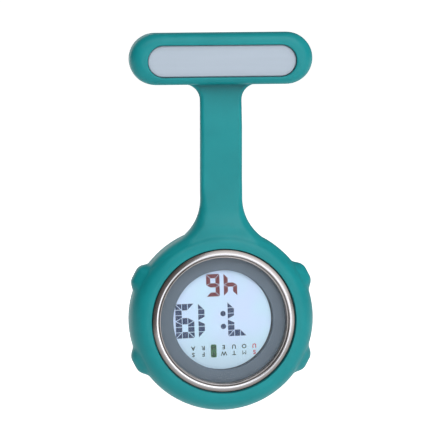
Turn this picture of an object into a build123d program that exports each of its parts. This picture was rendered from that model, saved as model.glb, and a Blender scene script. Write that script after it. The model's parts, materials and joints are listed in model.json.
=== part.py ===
"""Digital fob watch in a flexible silicone holder, modelled in millimetres.

The holder is a T: a head that hides a brooch pin, a flat strap, and a round pocket that grips the watch.
The watch hangs upside down, so that its wearer reads it from above. The origin is on the brooch needle's
axis, half way along the head. +X is right and +Z is up as seen from the front, and the front faces -Y.

The holder is one moulding. It is cut here into a head, strap segments and a pocket, so that its bending can
be a chain of hinges, and each push-button pad is a solid of its own, so that it can travel with its button.
"""

from build123d import *
import math
import os

# Driving dimensions, in millimetres and degrees.
HEAD_LENGTH = 41.1
HEAD_HEIGHT = 11.5
HEAD_FRONT_Y = -8.5
HEAD_BACK_Y = -2.7
STRAP_WIDTH = 9.4
STRAP_THICKNESS = 3.0
STRAP_MID_Y = -5.4
STRAP_BACK_Y = STRAP_MID_Y + STRAP_THICKNESS / 2
STRAP_FRONT_Y = STRAP_MID_Y - STRAP_THICKNESS / 2
WATCH_Z = -58.4
POCKET_RADIUS = 20.75
POCKET_FRONT_Y = -11.3
POCKET_BACK_Y = -0.8

# Holder details.
HEAD_JOIN_FILLET = 3.2
HEAD_FRONT_FILLET = 1.9
HEAD_BACK_FILLET = 0.8
POCKET_JOIN_FILLET = 11.0
STRAP_EDGE_FILLET = 0.9
POCKET_HEEL_RADIUS = 18.6
POCKET_FLANK_BACK_Y = -3.6
POCKET_FLANK_FRONT_Y = -7.2
POCKET_CREST_OUTER = 18.9
POCKET_CREST_INNER = 17.1
POCKET_LIP_Y = -10.6
CASE_GAP = 0.05
FIT_GAP = 0.02
TURN_GAP = 0.05

# Cutting tools reach this far past what they cut.
CLEAR = 1.0

# The strap bends about these hinge lines. Each is a knuckle above that turns in a hollow below.
BEND_COUNT = 4
BEND_FIRST_Z = -12.0
BEND_PITCH = 5.5
BEND_GAP = 0.1
BEND_SHOULDER = 0.9
BEND_ZS = [BEND_FIRST_Z - i * BEND_PITCH for i in range(BEND_COUNT)]

# Label plate and the plastic carrier behind it, in the head. The label's window sits a little low.
WINDOW_LENGTH = 33.6
WINDOW_HEIGHT = 7.3
WINDOW_Z = -0.4
LABEL_GAP = 0.15
LABEL_CHAMFER = 0.15
INSERT_LENGTH = 36.0
INSERT_HEIGHT = 9.3
INSERT_GAP = 0.1
LABEL_FRONT_Y = -7.8
LABEL_STEP_Y = -7.3
CARRIER_FRONT_Y = -6.9
CARRIER_STEP_Y = -4.0

# Brooch pin, on the carrier's back.
NEEDLE_RADIUS = 0.4
NEEDLE_TIP_RADIUS = 0.12
NEEDLE_TAPER_X = 8.0
NEEDLE_TIP_X = 13.1
HINGE_X = -12.5
HINGE_PIN_RADIUS = 0.35
EYE_RADIUS = 1.0
EYE_HEIGHT = 0.9
NECK_END_X = -10.2
PIN_HEAD_RADIUS = 0.65
PIN_HEAD_THICKNESS = 0.3
EAR_THICKNESS = 0.5
EAR_HEIGHT_Z = 0.55
EAR_RADIUS = 1.15
BAR_LENGTH = 31.0
BAR_HEIGHT = 4.6
BAR_THICKNESS = 0.6
BAR_BACK_Y = HEAD_BACK_Y + BAR_THICKNESS
RIVET_X = 7.5
RIVET_SHANK_RADIUS = 0.75
RIVET_HEAD_RADIUS = 1.3
RIVET_HEAD_THICKNESS = 0.5
RIVET_LENGTH_IN_CARRIER = 3.1
CATCH_X0 = 10.5
CATCH_X1 = 13.1
CATCH_OUTER_RADIUS = 1.5
CATCH_INNER_RADIUS = 1.05
CATCH_SLOT = 1.3
ROLLER_OUTER_RADIUS = 0.99
ROLLER_INNER_RADIUS = 0.5
ROLLER_SLOT = 0.95
ROLLER_LIP_X = 13.75
ROLLER_COLLAR_RADIUS = 1.29
CATCH_FOOT_HEIGHT = 1.6
LEVER_REACH = 1.95
LEVER_WIDTH = 0.9

# Watch case, from the bezel's crest to the case back.
CASE_RADIUS = 16.9
CASE_BORE_RADIUS = 14.2
CASE_FRONT_Y = -9.5
CASE_BACK_Y = -1.8
CASE_FILLET = 0.3
BEZEL_RADIUS = 16.1
BEZEL_INNER_RADIUS = 14.45
BEZEL_CREST_RADIUS = 15.0
BEZEL_CREST_Y = -11.1
CRYSTAL_RADIUS = 14.35
CRYSTAL_FRONT_Y = -10.6
CRYSTAL_GASKET_RADIUS = 14.76
DIAL_RING_BACK_Y = -8.7
DIAL_WINDOW_RADIUS = 11.25
DIAL_CHAMFER = 0.12
LIP_RADIUS = 16.45
BACK_WINDOW_RADIUS = 13.2
CASE_BACK_THICKNESS = 0.8
CASE_BACK_RADIUS = 13.6
BACK_SEAT_RADIUS = 12.7
BACK_SEAT_Y = CASE_BACK_Y - CASE_BACK_THICKNESS
BACK_SEAT_THICKNESS = 1.0
BACK_SCREW_RING = 11.3
BACK_SCREW_COUNT = 4
BACK_SCREW_RADIUS = 0.38
BACK_SCREW_HEAD_RADIUS = 0.95
BACK_SCREW_HEAD_THICKNESS = 0.4
CROSS_LENGTH = 1.2
CROSS_WIDTH = 0.22
LUG_RADIUS = 1.3
LUG_ARM_LENGTH = 2.4
LUG_ARM_WIDTH = 2.6
GASKET_OUTER = 13.25
GASKET_INNER = 12.85
GASKET_THICKNESS = 0.3

# Movement, stacked behind the dial ring.
MODULE_RADIUS = 13.9
LCD_SIDE = 23.6
LCD_ROUND_RADIUS = 13.3
LCD_TRIM = 4.2
POLARIZER_THICKNESS = 0.15
GLASS_THICKNESS = 1.1
REFLECTOR_THICKNESS = 0.2
LIGHT_GUIDE_THICKNESS = 0.6
BOARD_FRONT_Y = -5.9
BOARD_THICKNESS = 0.8
BOARD_RADIUS = 12.4
BATTERY_RADIUS = 10.0
BATTERY_THICKNESS = 1.6
CAP_RADIUS = 8.9
CAP_THICKNESS = 0.3
CLAMP_HUB_RADIUS = 4.0
CLAMP_HOLE_RADIUS = 1.5
CONTACT_THICKNESS = 0.2
BLADE_RADIUS = 12.5
BLADE_THICKNESS = 0.12
BLADE_WIDTH = 1.8
PIEZO_RADIUS = 9.6
PIEZO_THICKNESS = 0.3
PIEZO_BRASS_THICKNESS = 0.2
MODULE_SCREW_RING = 11.6
MODULE_SCREW_ANGLES = (-12, 12, 168, 192)
MODULE_SCREW_RADIUS = 0.4
MODULE_SCREW_HEAD_RADIUS = 0.75
MODULE_SCREW_HEAD_THICKNESS = 0.35
ZEBRA_LENGTH = 9.0
ZEBRA_WIDTH = 1.4
ZEBRA_INSET = 1.0
CHIP_X, CHIP_Z = -3.0, 1.0
CHIP_RADIUS = 4.0
CHIP_SUNK = 3.35
CAN_X, CAN_Z = 5.2, -3.0
CAN_RADIUS = 0.34
CAN_LENGTH = 4.6
LEAD_RADIUS = 0.1
LEAD_LENGTH = 1.4
LED_X, LED_Z = 8.6, 4.5
LED_WIDTH, LED_DEPTH, LED_HEIGHT = 1.0, 0.6, 1.6
TONGUE_LENGTH, TONGUE_WIDTH = 2.0, 2.6
TERMINAL_LENGTH, TERMINAL_WIDTH = 6.0, 3.0
PIEZO_LEG_X = -11.1
PIEZO_LEG_WIDTH = 1.2
PIEZO_LEG_THICKNESS = 0.15
PIEZO_FOOT_LENGTH = 2.65
PIEZO_FOOT_THICKNESS = 0.1

# Push buttons, near 2, 4, 8 and 10 o'clock.
BUTTON_RISE = 27.5
BUTTON_ANGLES = {
    "upper_right": BUTTON_RISE,
    "upper_left": 180 - BUTTON_RISE,
    "lower_left": 180 + BUTTON_RISE,
    "lower_right": 360 - BUTTON_RISE,
}
BUTTON_Y = -5.6
STEM_RADIUS = 0.8
STEM_BORE_RADIUS = 0.86
STEM_INNER_END = 13.35
BUTTON_HEAD_RADIUS = 1.7
BUTTON_HEAD_INNER = 17.8
BUTTON_HEAD_OUTER = 18.5
SPRING_SEAT = 15.7
SPRING_RADIUS = 1.2
SPRING_WIRE_RADIUS = 0.13
SPRING_POCKET_RADIUS = 1.4
SPRING_TURNS = 4
CLIP_OUTER = 14.15
CLIP_THICKNESS = 0.2
CLIP_RADIUS = 1.25
CLIP_GROOVE_RADIUS = 0.5
CLIP_MOUTH = 0.8
GROOVE_CUT_RADIUS = 2.0
SEAL_AT = 15.2
SEAL_RADIUS = 0.64
SEAL_SECTION_RADIUS = 0.18
SEAL_GROOVE_HALF = 0.22
PAD_WIDTH = 6.4
PAD_DEPTH = 5.4
PAD_OUTER = 22.1
PAD_GAP = 0.15
PAD_CORNER_RADIUS = 1.5
PAD_FACE_FILLET = 1.2
PAD_SLOT_START = 15.0
PAD_SLOT_LENGTH = 12.0
BLADE_ROOM_START = 12.0
BLADE_ROOM = (3.2, 5.2, 4.0)
BLADE_ROOM_Y = 1.0

WATCH_AXIS = Axis((0, 0, WATCH_Z), (0, 1, 0))


def slab(sketch, back_y, front_y):
    """A sketch drawn in X and Z, as a solid from back_y forward to front_y."""
    return extrude(Plane.XZ.offset(-back_y) * sketch, back_y - front_y)


def stadium(length, height):
    return RectangleRounded(length, height, height / 2 - 0.001)


def disc(radius, back_y, front_y, x=0.0, z=WATCH_Z):
    return slab(Pos(x, z) * Circle(radius), back_y, front_y)


def ring(outer, inner, back_y, front_y):
    return disc(outer, back_y, front_y) - disc(inner, back_y + CLEAR, front_y - CLEAR)


def turned(points):
    """A ring turned about the watch's axis from a closed outline of (radius, y) points."""
    face = make_face(Polyline(*[(r, y, WATCH_Z) for r, y in points], close=True))
    return revolve(face, axis=WATCH_AXIS)


def radial(angle, distance=0.0, y=BUTTON_Y):
    """A place on the watch whose local +Z points outward at this angle, and whose local +Y stays +Y."""
    a = math.radians(angle)
    outward = Vector(math.cos(a), 0, math.sin(a))
    origin = Vector(0, y, WATCH_Z) + outward * distance
    return Plane(origin=origin, x_dir=Vector(0, 1, 0).cross(outward), z_dir=outward)


def pole(radius, start, end):
    """A cylinder along local Z from start to end."""
    return Pos(0, 0, (start + end) / 2) * Cylinder(radius, end - start)


def along_x(radius, x0, x1, y=0.0, z=0.0):
    return Pos((x0 + x1) / 2, y, z) * Rot(0, 90, 0) * Cylinder(radius, x1 - x0)


def strap_blank(z_top, z_bottom):
    """A plain length of strap with rounded long edges."""
    section = RectangleRounded(STRAP_WIDTH, STRAP_THICKNESS, STRAP_EDGE_FILLET)
    return extrude(Pos(0, STRAP_MID_Y, z_bottom) * section, z_top - z_bottom)


def bend_knuckle(z):
    """The rounded end, about a hinge line, of the strap above it."""
    wide = along_x(STRAP_THICKNESS / 2, -STRAP_WIDTH / 2, STRAP_WIDTH / 2, STRAP_MID_Y, z)
    return wide & strap_blank(z + STRAP_THICKNESS, z - STRAP_THICKNESS)


def bend_hollow(z):
    """What is cut from the strap below a hinge line: the knuckle's room and the corners beside it."""
    room = along_x(STRAP_THICKNESS / 2 + BEND_GAP, -STRAP_WIDTH, STRAP_WIDTH, STRAP_MID_Y, z)
    above = Pos(0, STRAP_MID_Y, z - BEND_SHOULDER + 5) * Box(2 * STRAP_WIDTH, 3 * STRAP_THICKNESS, 10)
    return room + above


def strap_segment(i):
    """The strap between hinge lines i and i + 1."""
    top, bottom = BEND_ZS[i], BEND_ZS[i + 1]
    return strap_blank(top, bottom) + bend_knuckle(bottom) - bend_hollow(top)


def silicone_head():
    """The head: a frame round the label and the pin carrier, with the top of the strap."""
    shell = slab(stadium(HEAD_LENGTH, HEAD_HEIGHT), HEAD_BACK_Y, HEAD_FRONT_Y)
    shell = fillet(shell.faces().sort_by(Axis.Y)[0].edges(), HEAD_FRONT_FILLET)
    shell = fillet(shell.faces().sort_by(Axis.Y)[-1].edges(), HEAD_BACK_FILLET)
    base_z = -HEAD_HEIGHT / 2
    stem = Pos(0, (base_z + 1 + BEND_ZS[0]) / 2) * Rectangle(STRAP_WIDTH, base_z + 1 - BEND_ZS[0])
    outline = stem + Pos(0, base_z + 1) * Rectangle(STRAP_WIDTH + 4 * HEAD_JOIN_FILLET, 2)
    on_base = [v for v in outline.vertices() if abs(v.Y - base_z) < 0.01]
    inner_corners = [v for v in on_base if abs(v.X) < STRAP_WIDTH / 2 + 0.01]
    outline = fillet(inner_corners, HEAD_JOIN_FILLET)
    neck = slab(outline, STRAP_BACK_Y, STRAP_FRONT_Y)
    whole = shell + neck + bend_knuckle(BEND_ZS[0])
    label_window = Pos(0, WINDOW_Z) * stadium(WINDOW_LENGTH, WINDOW_HEIGHT)
    front_window = slab(label_window, LABEL_STEP_Y, HEAD_FRONT_Y - CLEAR)
    cavity = stadium(INSERT_LENGTH + 2 * INSERT_GAP, INSERT_HEIGHT + 2 * INSERT_GAP)
    back_window = stadium(WINDOW_LENGTH + 0.4, WINDOW_HEIGHT + 0.3)
    whole -= front_window
    whole -= slab(cavity, CARRIER_STEP_Y, LABEL_STEP_Y)
    whole -= slab(back_window, HEAD_BACK_Y + CLEAR, CARRIER_STEP_Y)
    return whole


def label_plate():
    """A plain plate, whose raised face fills the window, on a wider flange that holds it in."""
    outline = stadium(WINDOW_LENGTH - 2 * LABEL_GAP, WINDOW_HEIGHT - 2 * LABEL_GAP)
    face = slab(Pos(0, WINDOW_Z) * outline, LABEL_STEP_Y, LABEL_FRONT_Y)
    face = chamfer(face.faces().sort_by(Axis.Y)[0].edges(), LABEL_CHAMFER)
    flange = stadium(INSERT_LENGTH - 4 * INSERT_GAP, INSERT_HEIGHT - 4 * INSERT_GAP)
    return face + slab(flange, CARRIER_FRONT_Y, LABEL_STEP_Y)


def pin_carrier():
    flange = slab(stadium(INSERT_LENGTH, INSERT_HEIGHT), CARRIER_STEP_Y, CARRIER_FRONT_Y)
    island = slab(stadium(WINDOW_LENGTH, WINDOW_HEIGHT), HEAD_BACK_Y, CARRIER_STEP_Y)
    return flange + island - rivet_holes(HEAD_BACK_Y + CLEAR, CARRIER_FRONT_Y + 1)


def rivet_holes(back_y, front_y):
    return [disc(RIVET_SHANK_RADIUS + FIT_GAP, back_y, front_y, x, 0) for x in (-RIVET_X, RIVET_X)]


def brooch_bar():
    """The pressed-steel base strip, with two hinge ears and a rolled catch for the needle's point."""
    strip = slab(stadium(BAR_LENGTH, BAR_HEIGHT), BAR_BACK_Y, HEAD_BACK_Y)
    strip -= rivet_holes(BAR_BACK_Y + CLEAR, HEAD_BACK_Y - CLEAR)
    root_y = HEAD_BACK_Y + 0.1
    leg = Pos(HINGE_X, root_y / 2) * Rectangle(2 * EAR_RADIUS, -root_y)
    ear = leg + Pos(HINGE_X, 0) * Circle(EAR_RADIUS) - Pos(HINGE_X, 0) * Circle(HINGE_PIN_RADIUS + TURN_GAP)
    for z in (EAR_HEIGHT_Z, -EAR_HEIGHT_Z - EAR_THICKNESS):
        strip += extrude(Pos(0, 0, z) * ear, EAR_THICKNESS)
    catch = along_x(CATCH_OUTER_RADIUS, CATCH_X0, CATCH_X1)
    foot = Box(CATCH_X1 - CATCH_X0, -root_y, CATCH_FOOT_HEIGHT)
    foot = Pos((CATCH_X0 + CATCH_X1) / 2, root_y / 2, 0) * foot
    catch = catch + foot - along_x(CATCH_INNER_RADIUS, CATCH_X0 - CLEAR, CATCH_X1 + CLEAR)
    slot = Pos((CATCH_X0 + CATCH_X1) / 2, 2, 0) * Box(CATCH_X1 - CATCH_X0 + 2, 4, CATCH_SLOT)
    return strip + (catch - slot)


def brooch_rivets():
    def rivet(x):
        shank = disc(RIVET_SHANK_RADIUS, BAR_BACK_Y, HEAD_BACK_Y - RIVET_LENGTH_IN_CARRIER, x, 0)
        head = disc(RIVET_HEAD_RADIUS, BAR_BACK_Y + RIVET_HEAD_THICKNESS, BAR_BACK_Y, x, 0)
        head = fillet(head.faces().sort_by(Axis.Y)[-1].edges(), 0.4)
        return shank + head

    return Compound([rivet(-RIVET_X), rivet(RIVET_X)])


def hinge_pin():
    half = EAR_HEIGHT_Z + EAR_THICKNESS
    at = half + PIN_HEAD_THICKNESS / 2
    heads = [Pos(HINGE_X, 0, z) * Cylinder(PIN_HEAD_RADIUS, PIN_HEAD_THICKNESS) for z in (-at, at)]
    return Pos(HINGE_X, 0, 0) * Cylinder(HINGE_PIN_RADIUS, 2 * half) + heads


def brooch_needle():
    """A straight steel pin: an eye round the hinge pin, a flat-sided neck, the shank and a tapered point."""
    eye = Pos(HINGE_X, 0, 0) * Cylinder(EYE_RADIUS, EYE_HEIGHT)
    neck_start = HINGE_X + EYE_RADIUS - 0.2
    neck = Pos((neck_start + NECK_END_X) / 2, 0, 0) * Box(NECK_END_X - neck_start, EYE_HEIGHT, EYE_HEIGHT)
    shank = along_x(NEEDLE_RADIUS, NECK_END_X, NEEDLE_TAPER_X)
    base = [(NEEDLE_TAPER_X, 0), (NEEDLE_TAPER_X, NEEDLE_RADIUS)]
    tip = [(NEEDLE_TIP_X, NEEDLE_TIP_RADIUS), (NEEDLE_TIP_X, 0)]
    point = revolve(make_face(Polyline(*base, *tip, close=True)), axis=Axis.X)
    hole = Pos(HINGE_X, 0, 0) * Cylinder(HINGE_PIN_RADIUS + TURN_GAP, 2 * EYE_HEIGHT)
    return eye + neck + shank + point - hole


def catch_roller():
    """The turning lock of the catch: a slotted tube that carries a small thumb lever outside the housing."""
    lip_x = CATCH_X1 + 0.08
    tube = along_x(ROLLER_OUTER_RADIUS, CATCH_X0 + 0.05, ROLLER_LIP_X)
    collar = along_x(ROLLER_COLLAR_RADIUS, lip_x, ROLLER_LIP_X)
    length = ROLLER_LIP_X - lip_x
    lever = Pos((lip_x + ROLLER_LIP_X) / 2, 0, LEVER_REACH / 2) * Box(length, LEVER_WIDTH, LEVER_REACH)
    body = tube + collar + lever - along_x(ROLLER_INNER_RADIUS, CATCH_X0 - CLEAR, ROLLER_LIP_X + CLEAR)
    return body - Pos((CATCH_X0 + ROLLER_LIP_X) / 2, 2, 0) * Box(ROLLER_LIP_X, 4, ROLLER_SLOT)


def circular_edges(shape, radius, y):
    """The watch-centred circular edges of this radius at this y."""
    rims = [e for e in shape.edges().filter_by(GeomType.CIRCLE) if abs(e.radius - radius) < 1e-3]
    return [e for e in rims if abs(e.center().Y - y) < 1e-3]


def silicone_pocket():
    """The ring that grips the case, with its rolled lips, and the strap's flared foot."""
    outline = [
        (BACK_WINDOW_RADIUS, CASE_BACK_Y),
        (BACK_WINDOW_RADIUS, POCKET_BACK_Y),
        (POCKET_HEEL_RADIUS, POCKET_BACK_Y),
        (POCKET_RADIUS, POCKET_FLANK_BACK_Y),
        (POCKET_RADIUS, POCKET_FLANK_FRONT_Y),
        (POCKET_CREST_OUTER, POCKET_FRONT_Y),
        (POCKET_CREST_INNER, POCKET_FRONT_Y),
        (LIP_RADIUS, POCKET_LIP_Y),
        (LIP_RADIUS, CASE_FRONT_Y),
        (CASE_RADIUS + CASE_GAP, CASE_FRONT_Y),
        (CASE_RADIUS + CASE_GAP, CASE_BACK_Y),
    ]
    pocket = turned(outline)
    rounding = {1: 0.3, 2: 1.5, 3: 2.5, 4: 3.0, 5: 1.1, 6: 0.6, 7: 0.4}
    for corner, radius in rounding.items():
        pocket = fillet(circular_edges(pocket, *outline[corner]), radius)
    neck = Pos(0, (BEND_ZS[-1] + WATCH_Z) / 2) * Rectangle(STRAP_WIDTH, BEND_ZS[-1] - WATCH_Z)
    web = neck + Pos(0, WATCH_Z) * Circle(POCKET_RADIUS)
    corner_z = WATCH_Z + math.sqrt(POCKET_RADIUS**2 - (STRAP_WIDTH / 2) ** 2)
    corners = [v for v in web.vertices() if abs(v.Y - corner_z) < 0.01]
    web = fillet(corners, POCKET_JOIN_FILLET)
    web -= Pos(0, WATCH_Z) * Circle(CASE_RADIUS + CASE_GAP)
    web -= Pos(0, WATCH_Z - POCKET_RADIUS / 2) * Rectangle(3 * POCKET_RADIUS, 2 * POCKET_RADIUS)
    pocket += slab(web, STRAP_BACK_Y, STRAP_FRONT_Y)
    pocket -= bend_hollow(BEND_ZS[-1])
    for angle in BUTTON_ANGLES.values():
        pocket -= radial(angle, PAD_SLOT_START) * pad_block(0, PAD_SLOT_LENGTH, PAD_GAP)
    return pocket


def pad_block(start, end, gap=0.0):
    section = RectangleRounded(PAD_WIDTH + 2 * gap, PAD_DEPTH + 2 * gap, PAD_CORNER_RADIUS + gap)
    return extrude(Pos(0, 0, start) * section, end - start)


def button_pad(angle):
    block = pad_block(BUTTON_HEAD_OUTER, PAD_OUTER)
    block = fillet(block.faces().sort_by(Axis.Z)[-1].edges(), PAD_FACE_FILLET)
    return radial(angle) * block


def groove(core_radius, middle, half_width):
    """What is turned from a stem down to core_radius, to either side of middle."""
    start, end = middle - half_width, middle + half_width
    return pole(GROOVE_CUT_RADIUS, start, end) - pole(core_radius, start - CLEAR, end + CLEAR)


def button(angle):
    """A steel pusher: the head that the pad rests on, and a stem grooved for its seal and its clip."""
    head = pole(BUTTON_HEAD_RADIUS, BUTTON_HEAD_INNER, BUTTON_HEAD_OUTER)
    stem = pole(STEM_RADIUS, STEM_INNER_END, BUTTON_HEAD_INNER)
    seal_groove = groove(SEAL_RADIUS - SEAL_SECTION_RADIUS - FIT_GAP / 2, SEAL_AT, SEAL_GROOVE_HALF)
    clip_middle = CLIP_OUTER - CLIP_THICKNESS / 2
    clip_groove = groove(CLIP_GROOVE_RADIUS, clip_middle, CLIP_THICKNESS / 2 + FIT_GAP)
    return radial(angle) * (head + stem - seal_groove - clip_groove)


def button_seal(angle):
    return radial(angle) * Pos(0, 0, SEAL_AT) * Torus(SEAL_RADIUS, SEAL_SECTION_RADIUS)


def button_clip(angle):
    """An open retaining clip, snapped into the stem's inner groove."""
    inner = CLIP_OUTER - CLIP_THICKNESS
    blank = pole(CLIP_RADIUS, inner, CLIP_OUTER)
    blank -= pole(CLIP_GROOVE_RADIUS + FIT_GAP / 2, inner - CLEAR, CLIP_OUTER + CLEAR)
    mouth = Pos(0, CLIP_RADIUS, CLIP_OUTER) * Box(CLIP_MOUTH, 2 * CLIP_RADIUS, CLEAR)
    return radial(angle) * (blank - mouth)


def button_spring(angle):
    start, end = SPRING_SEAT + SPRING_WIRE_RADIUS, BUTTON_HEAD_INNER - SPRING_WIRE_RADIUS - 0.02
    wire_line = SPRING_RADIUS - SPRING_WIRE_RADIUS
    path = Helix((end - start) / SPRING_TURNS, end - start, wire_line)
    section = Plane(origin=path @ 0, z_dir=path % 0) * Circle(SPRING_WIRE_RADIUS)
    return radial(angle, start) * sweep(section, path, is_frenet=True)


def case_body():
    """The steel case band, bored for the four stems and their springs, with a seat for the back plate."""
    body = ring(CASE_RADIUS, CASE_BORE_RADIUS, CASE_BACK_Y, CASE_FRONT_Y)
    for y in (CASE_BACK_Y, CASE_FRONT_Y):
        body = fillet(circular_edges(body, CASE_RADIUS, y), CASE_FILLET)
    overlap = CASE_BORE_RADIUS + 0.3
    body += ring(overlap, BACK_SEAT_RADIUS, BACK_SEAT_Y, BACK_SEAT_Y - BACK_SEAT_THICKNESS)
    body += ring(overlap, CASE_BACK_RADIUS + 0.05, CASE_BACK_Y, BACK_SEAT_Y)
    for angle in BUTTON_ANGLES.values():
        body -= radial(angle) * pole(STEM_BORE_RADIUS, CASE_BORE_RADIUS - CLEAR, CASE_RADIUS + CLEAR)
        body -= radial(angle) * pole(SPRING_POCKET_RADIUS, SPRING_SEAT, CASE_RADIUS + CLEAR)
    for angle in back_screw_angles():
        body += back_lug(angle)
    return body


def back_screw_angles():
    return [45 + 360 / BACK_SCREW_COUNT * i for i in range(BACK_SCREW_COUNT)]


def back_screw_place(angle):
    a = math.radians(angle)
    return BACK_SCREW_RING * math.cos(a), WATCH_Z + BACK_SCREW_RING * math.sin(a)


def back_lug(angle):
    """A boss on the back seat that a case-back screw bites into."""
    x, z = back_screw_place(angle)
    front_y = BACK_SEAT_Y - BACK_SEAT_THICKNESS
    boss = disc(LUG_RADIUS, BACK_SEAT_Y, front_y, x, z)
    a = math.radians(angle)
    mid = (BACK_SCREW_RING + BACK_SEAT_RADIUS) / 2
    arm = Rot(0, 0, angle) * Rectangle(LUG_ARM_LENGTH, LUG_ARM_WIDTH)
    lug = boss + slab(Pos(mid * math.cos(a), WATCH_Z + mid * math.sin(a)) * arm, BACK_SEAT_Y, front_y)
    return lug - disc(BACK_SCREW_RADIUS + FIT_GAP, BACK_SEAT_Y + CLEAR, front_y - CLEAR, x, z)


def bezel():
    step_y = CRYSTAL_FRONT_Y + 0.15
    return turned([
        (CRYSTAL_GASKET_RADIUS, CASE_FRONT_Y),
        (BEZEL_RADIUS, CASE_FRONT_Y),
        (BEZEL_RADIUS, -9.95),
        (15.75, -10.55),
        (15.25, -10.98),
        (BEZEL_CREST_RADIUS, BEZEL_CREST_Y),
        (14.8, -11.05),
        (BEZEL_INNER_RADIUS, -10.8),
        (BEZEL_INNER_RADIUS, step_y),
        (CRYSTAL_GASKET_RADIUS, step_y),
    ])


def crystal_gasket():
    return ring(CRYSTAL_GASKET_RADIUS - 0.01, CRYSTAL_RADIUS + 0.01, CASE_FRONT_Y, CRYSTAL_FRONT_Y + 0.16)


def crystal():
    glass = disc(CRYSTAL_RADIUS, CASE_FRONT_Y, CRYSTAL_FRONT_Y)
    return chamfer(glass.faces().sort_by(Axis.Y)[0].edges(), 0.15)


def dial_ring():
    flange = ring(CASE_BORE_RADIUS - 0.05, DIAL_WINDOW_RADIUS, DIAL_RING_BACK_Y, CASE_FRONT_Y)
    return chamfer(circular_edges(flange, DIAL_WINDOW_RADIUS, CASE_FRONT_Y), DIAL_CHAMFER)


def display_outline(side, radius):
    """A square plate with its corners cut round to fit the case."""
    return Pos(0, WATCH_Z) * (Rectangle(side, side) & Circle(radius))


def stack(thickness, above, sketch):
    """A plate whose front lies at above, and the y of its back."""
    return slab(sketch, above + thickness, above), above + thickness


def display_stack():
    """Front polarizer, glass cell, reflector and light guide, one behind the other."""
    parts, y = {}, DIAL_RING_BACK_Y
    for name, thickness, side, radius in (
        ("front_polarizer", POLARIZER_THICKNESS, LCD_SIDE - 0.8, LCD_ROUND_RADIUS - 0.5),
        ("display_glass", GLASS_THICKNESS, LCD_SIDE, LCD_ROUND_RADIUS),
        ("display_reflector", REFLECTOR_THICKNESS, LCD_SIDE - LCD_TRIM, LCD_ROUND_RADIUS - 1.0),
        ("light_guide", LIGHT_GUIDE_THICKNESS, LCD_SIDE - LCD_TRIM, LCD_ROUND_RADIUS - 1.0),
    ):
        parts[name], y = stack(thickness, y, display_outline(side, radius))
    return parts


def board_y():
    return BOARD_FRONT_Y + BOARD_THICKNESS


def module_frame():
    """The plastic tray that holds the display, the board and the battery in line."""
    front_y = DIAL_RING_BACK_Y
    back_y = BACK_SEAT_Y - BACK_SEAT_THICKNESS - CASE_GAP
    frame = disc(MODULE_RADIUS, back_y, front_y)
    display_back = front_y + POLARIZER_THICKNESS + GLASS_THICKNESS
    glass_room = display_outline(LCD_SIDE + 2 * CASE_GAP, LCD_ROUND_RADIUS + CASE_GAP)
    frame -= slab(glass_room, display_back, front_y - CLEAR)
    light_room = display_outline(LCD_SIDE - LCD_TRIM + 4 * CASE_GAP, LCD_ROUND_RADIUS - 0.9)
    frame -= slab(light_room, BOARD_FRONT_Y, display_back - CASE_GAP)
    for side in (-1, 1):
        frame -= zebra_strip(side, CASE_GAP)
    frame -= disc(BOARD_RADIUS + 2 * CASE_GAP, back_y + CLEAR, BOARD_FRONT_Y)
    blade_room = Pos(0, BLADE_ROOM_Y, BLADE_ROOM[2] / 2) * Box(*BLADE_ROOM)
    for angle in BUTTON_ANGLES.values():
        frame -= radial(angle, BLADE_ROOM_START) * blade_room
    return frame


def zebra_strip(side, gap=0.0):
    top = DIAL_RING_BACK_Y + POLARIZER_THICKNESS + GLASS_THICKNESS
    z = WATCH_Z + side * (LCD_SIDE / 2 - ZEBRA_INSET)
    return slab(Pos(0, z) * Rectangle(ZEBRA_LENGTH + 2 * gap, ZEBRA_WIDTH + 2 * gap), BOARD_FRONT_Y, top)


def circuit_board():
    board = disc(BOARD_RADIUS, board_y(), BOARD_FRONT_Y)
    for x, z in module_screw_places():
        board -= disc(MODULE_SCREW_RADIUS + CASE_GAP, board_y() + CLEAR, BOARD_FRONT_Y - CLEAR, x, z)
    return board


def module_screw_places():
    turns = [math.radians(a) for a in MODULE_SCREW_ANGLES]
    return [(MODULE_SCREW_RING * math.cos(t), WATCH_Z + MODULE_SCREW_RING * math.sin(t)) for t in turns]


def chip_blob():
    """The black resin drop over the watch chip, on the board's front."""
    blob = Pos(CHIP_X, BOARD_FRONT_Y + CHIP_SUNK, WATCH_Z + CHIP_Z) * Sphere(CHIP_RADIUS)
    return blob & disc(BOARD_RADIUS, BOARD_FRONT_Y, BOARD_FRONT_Y - CHIP_RADIUS)


def quartz_crystal():
    """The small metal can of the 32 kHz resonator, lying on the board."""
    can_z = WATCH_Z + CAN_Z
    can = Pos(CAN_X, BOARD_FRONT_Y - CAN_RADIUS - FIT_GAP, can_z) * Cylinder(CAN_RADIUS, CAN_LENGTH)
    lead_z = can_z + (CAN_LENGTH + LEAD_LENGTH) / 2 - LEAD_RADIUS
    lead = Pos(CAN_X, BOARD_FRONT_Y - LEAD_RADIUS - FIT_GAP / 2, lead_z) * Cylinder(LEAD_RADIUS, LEAD_LENGTH)
    return can + [Pos(x, 0, 0) * lead for x in (-2 * LEAD_RADIUS, 2 * LEAD_RADIUS)]


def backlight_led():
    block = Box(LED_WIDTH, LED_DEPTH, LED_HEIGHT)
    return Pos(LED_X, BOARD_FRONT_Y - LED_DEPTH / 2, WATCH_Z + LED_Z) * block


def battery_contact():
    """The negative terminal: a thin leaf on the board's back with a raised tongue."""
    middle_y = board_y() + CONTACT_THICKNESS / 2
    leaf = slab(Pos(0, WATCH_Z) * Rectangle(TERMINAL_LENGTH, TERMINAL_WIDTH), middle_y, board_y())
    tongue = slab(Pos(0, WATCH_Z) * Rectangle(TONGUE_LENGTH, TONGUE_WIDTH), battery_front_y(), middle_y)
    return leaf + tongue


def battery_front_y():
    return board_y() + CONTACT_THICKNESS


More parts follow.
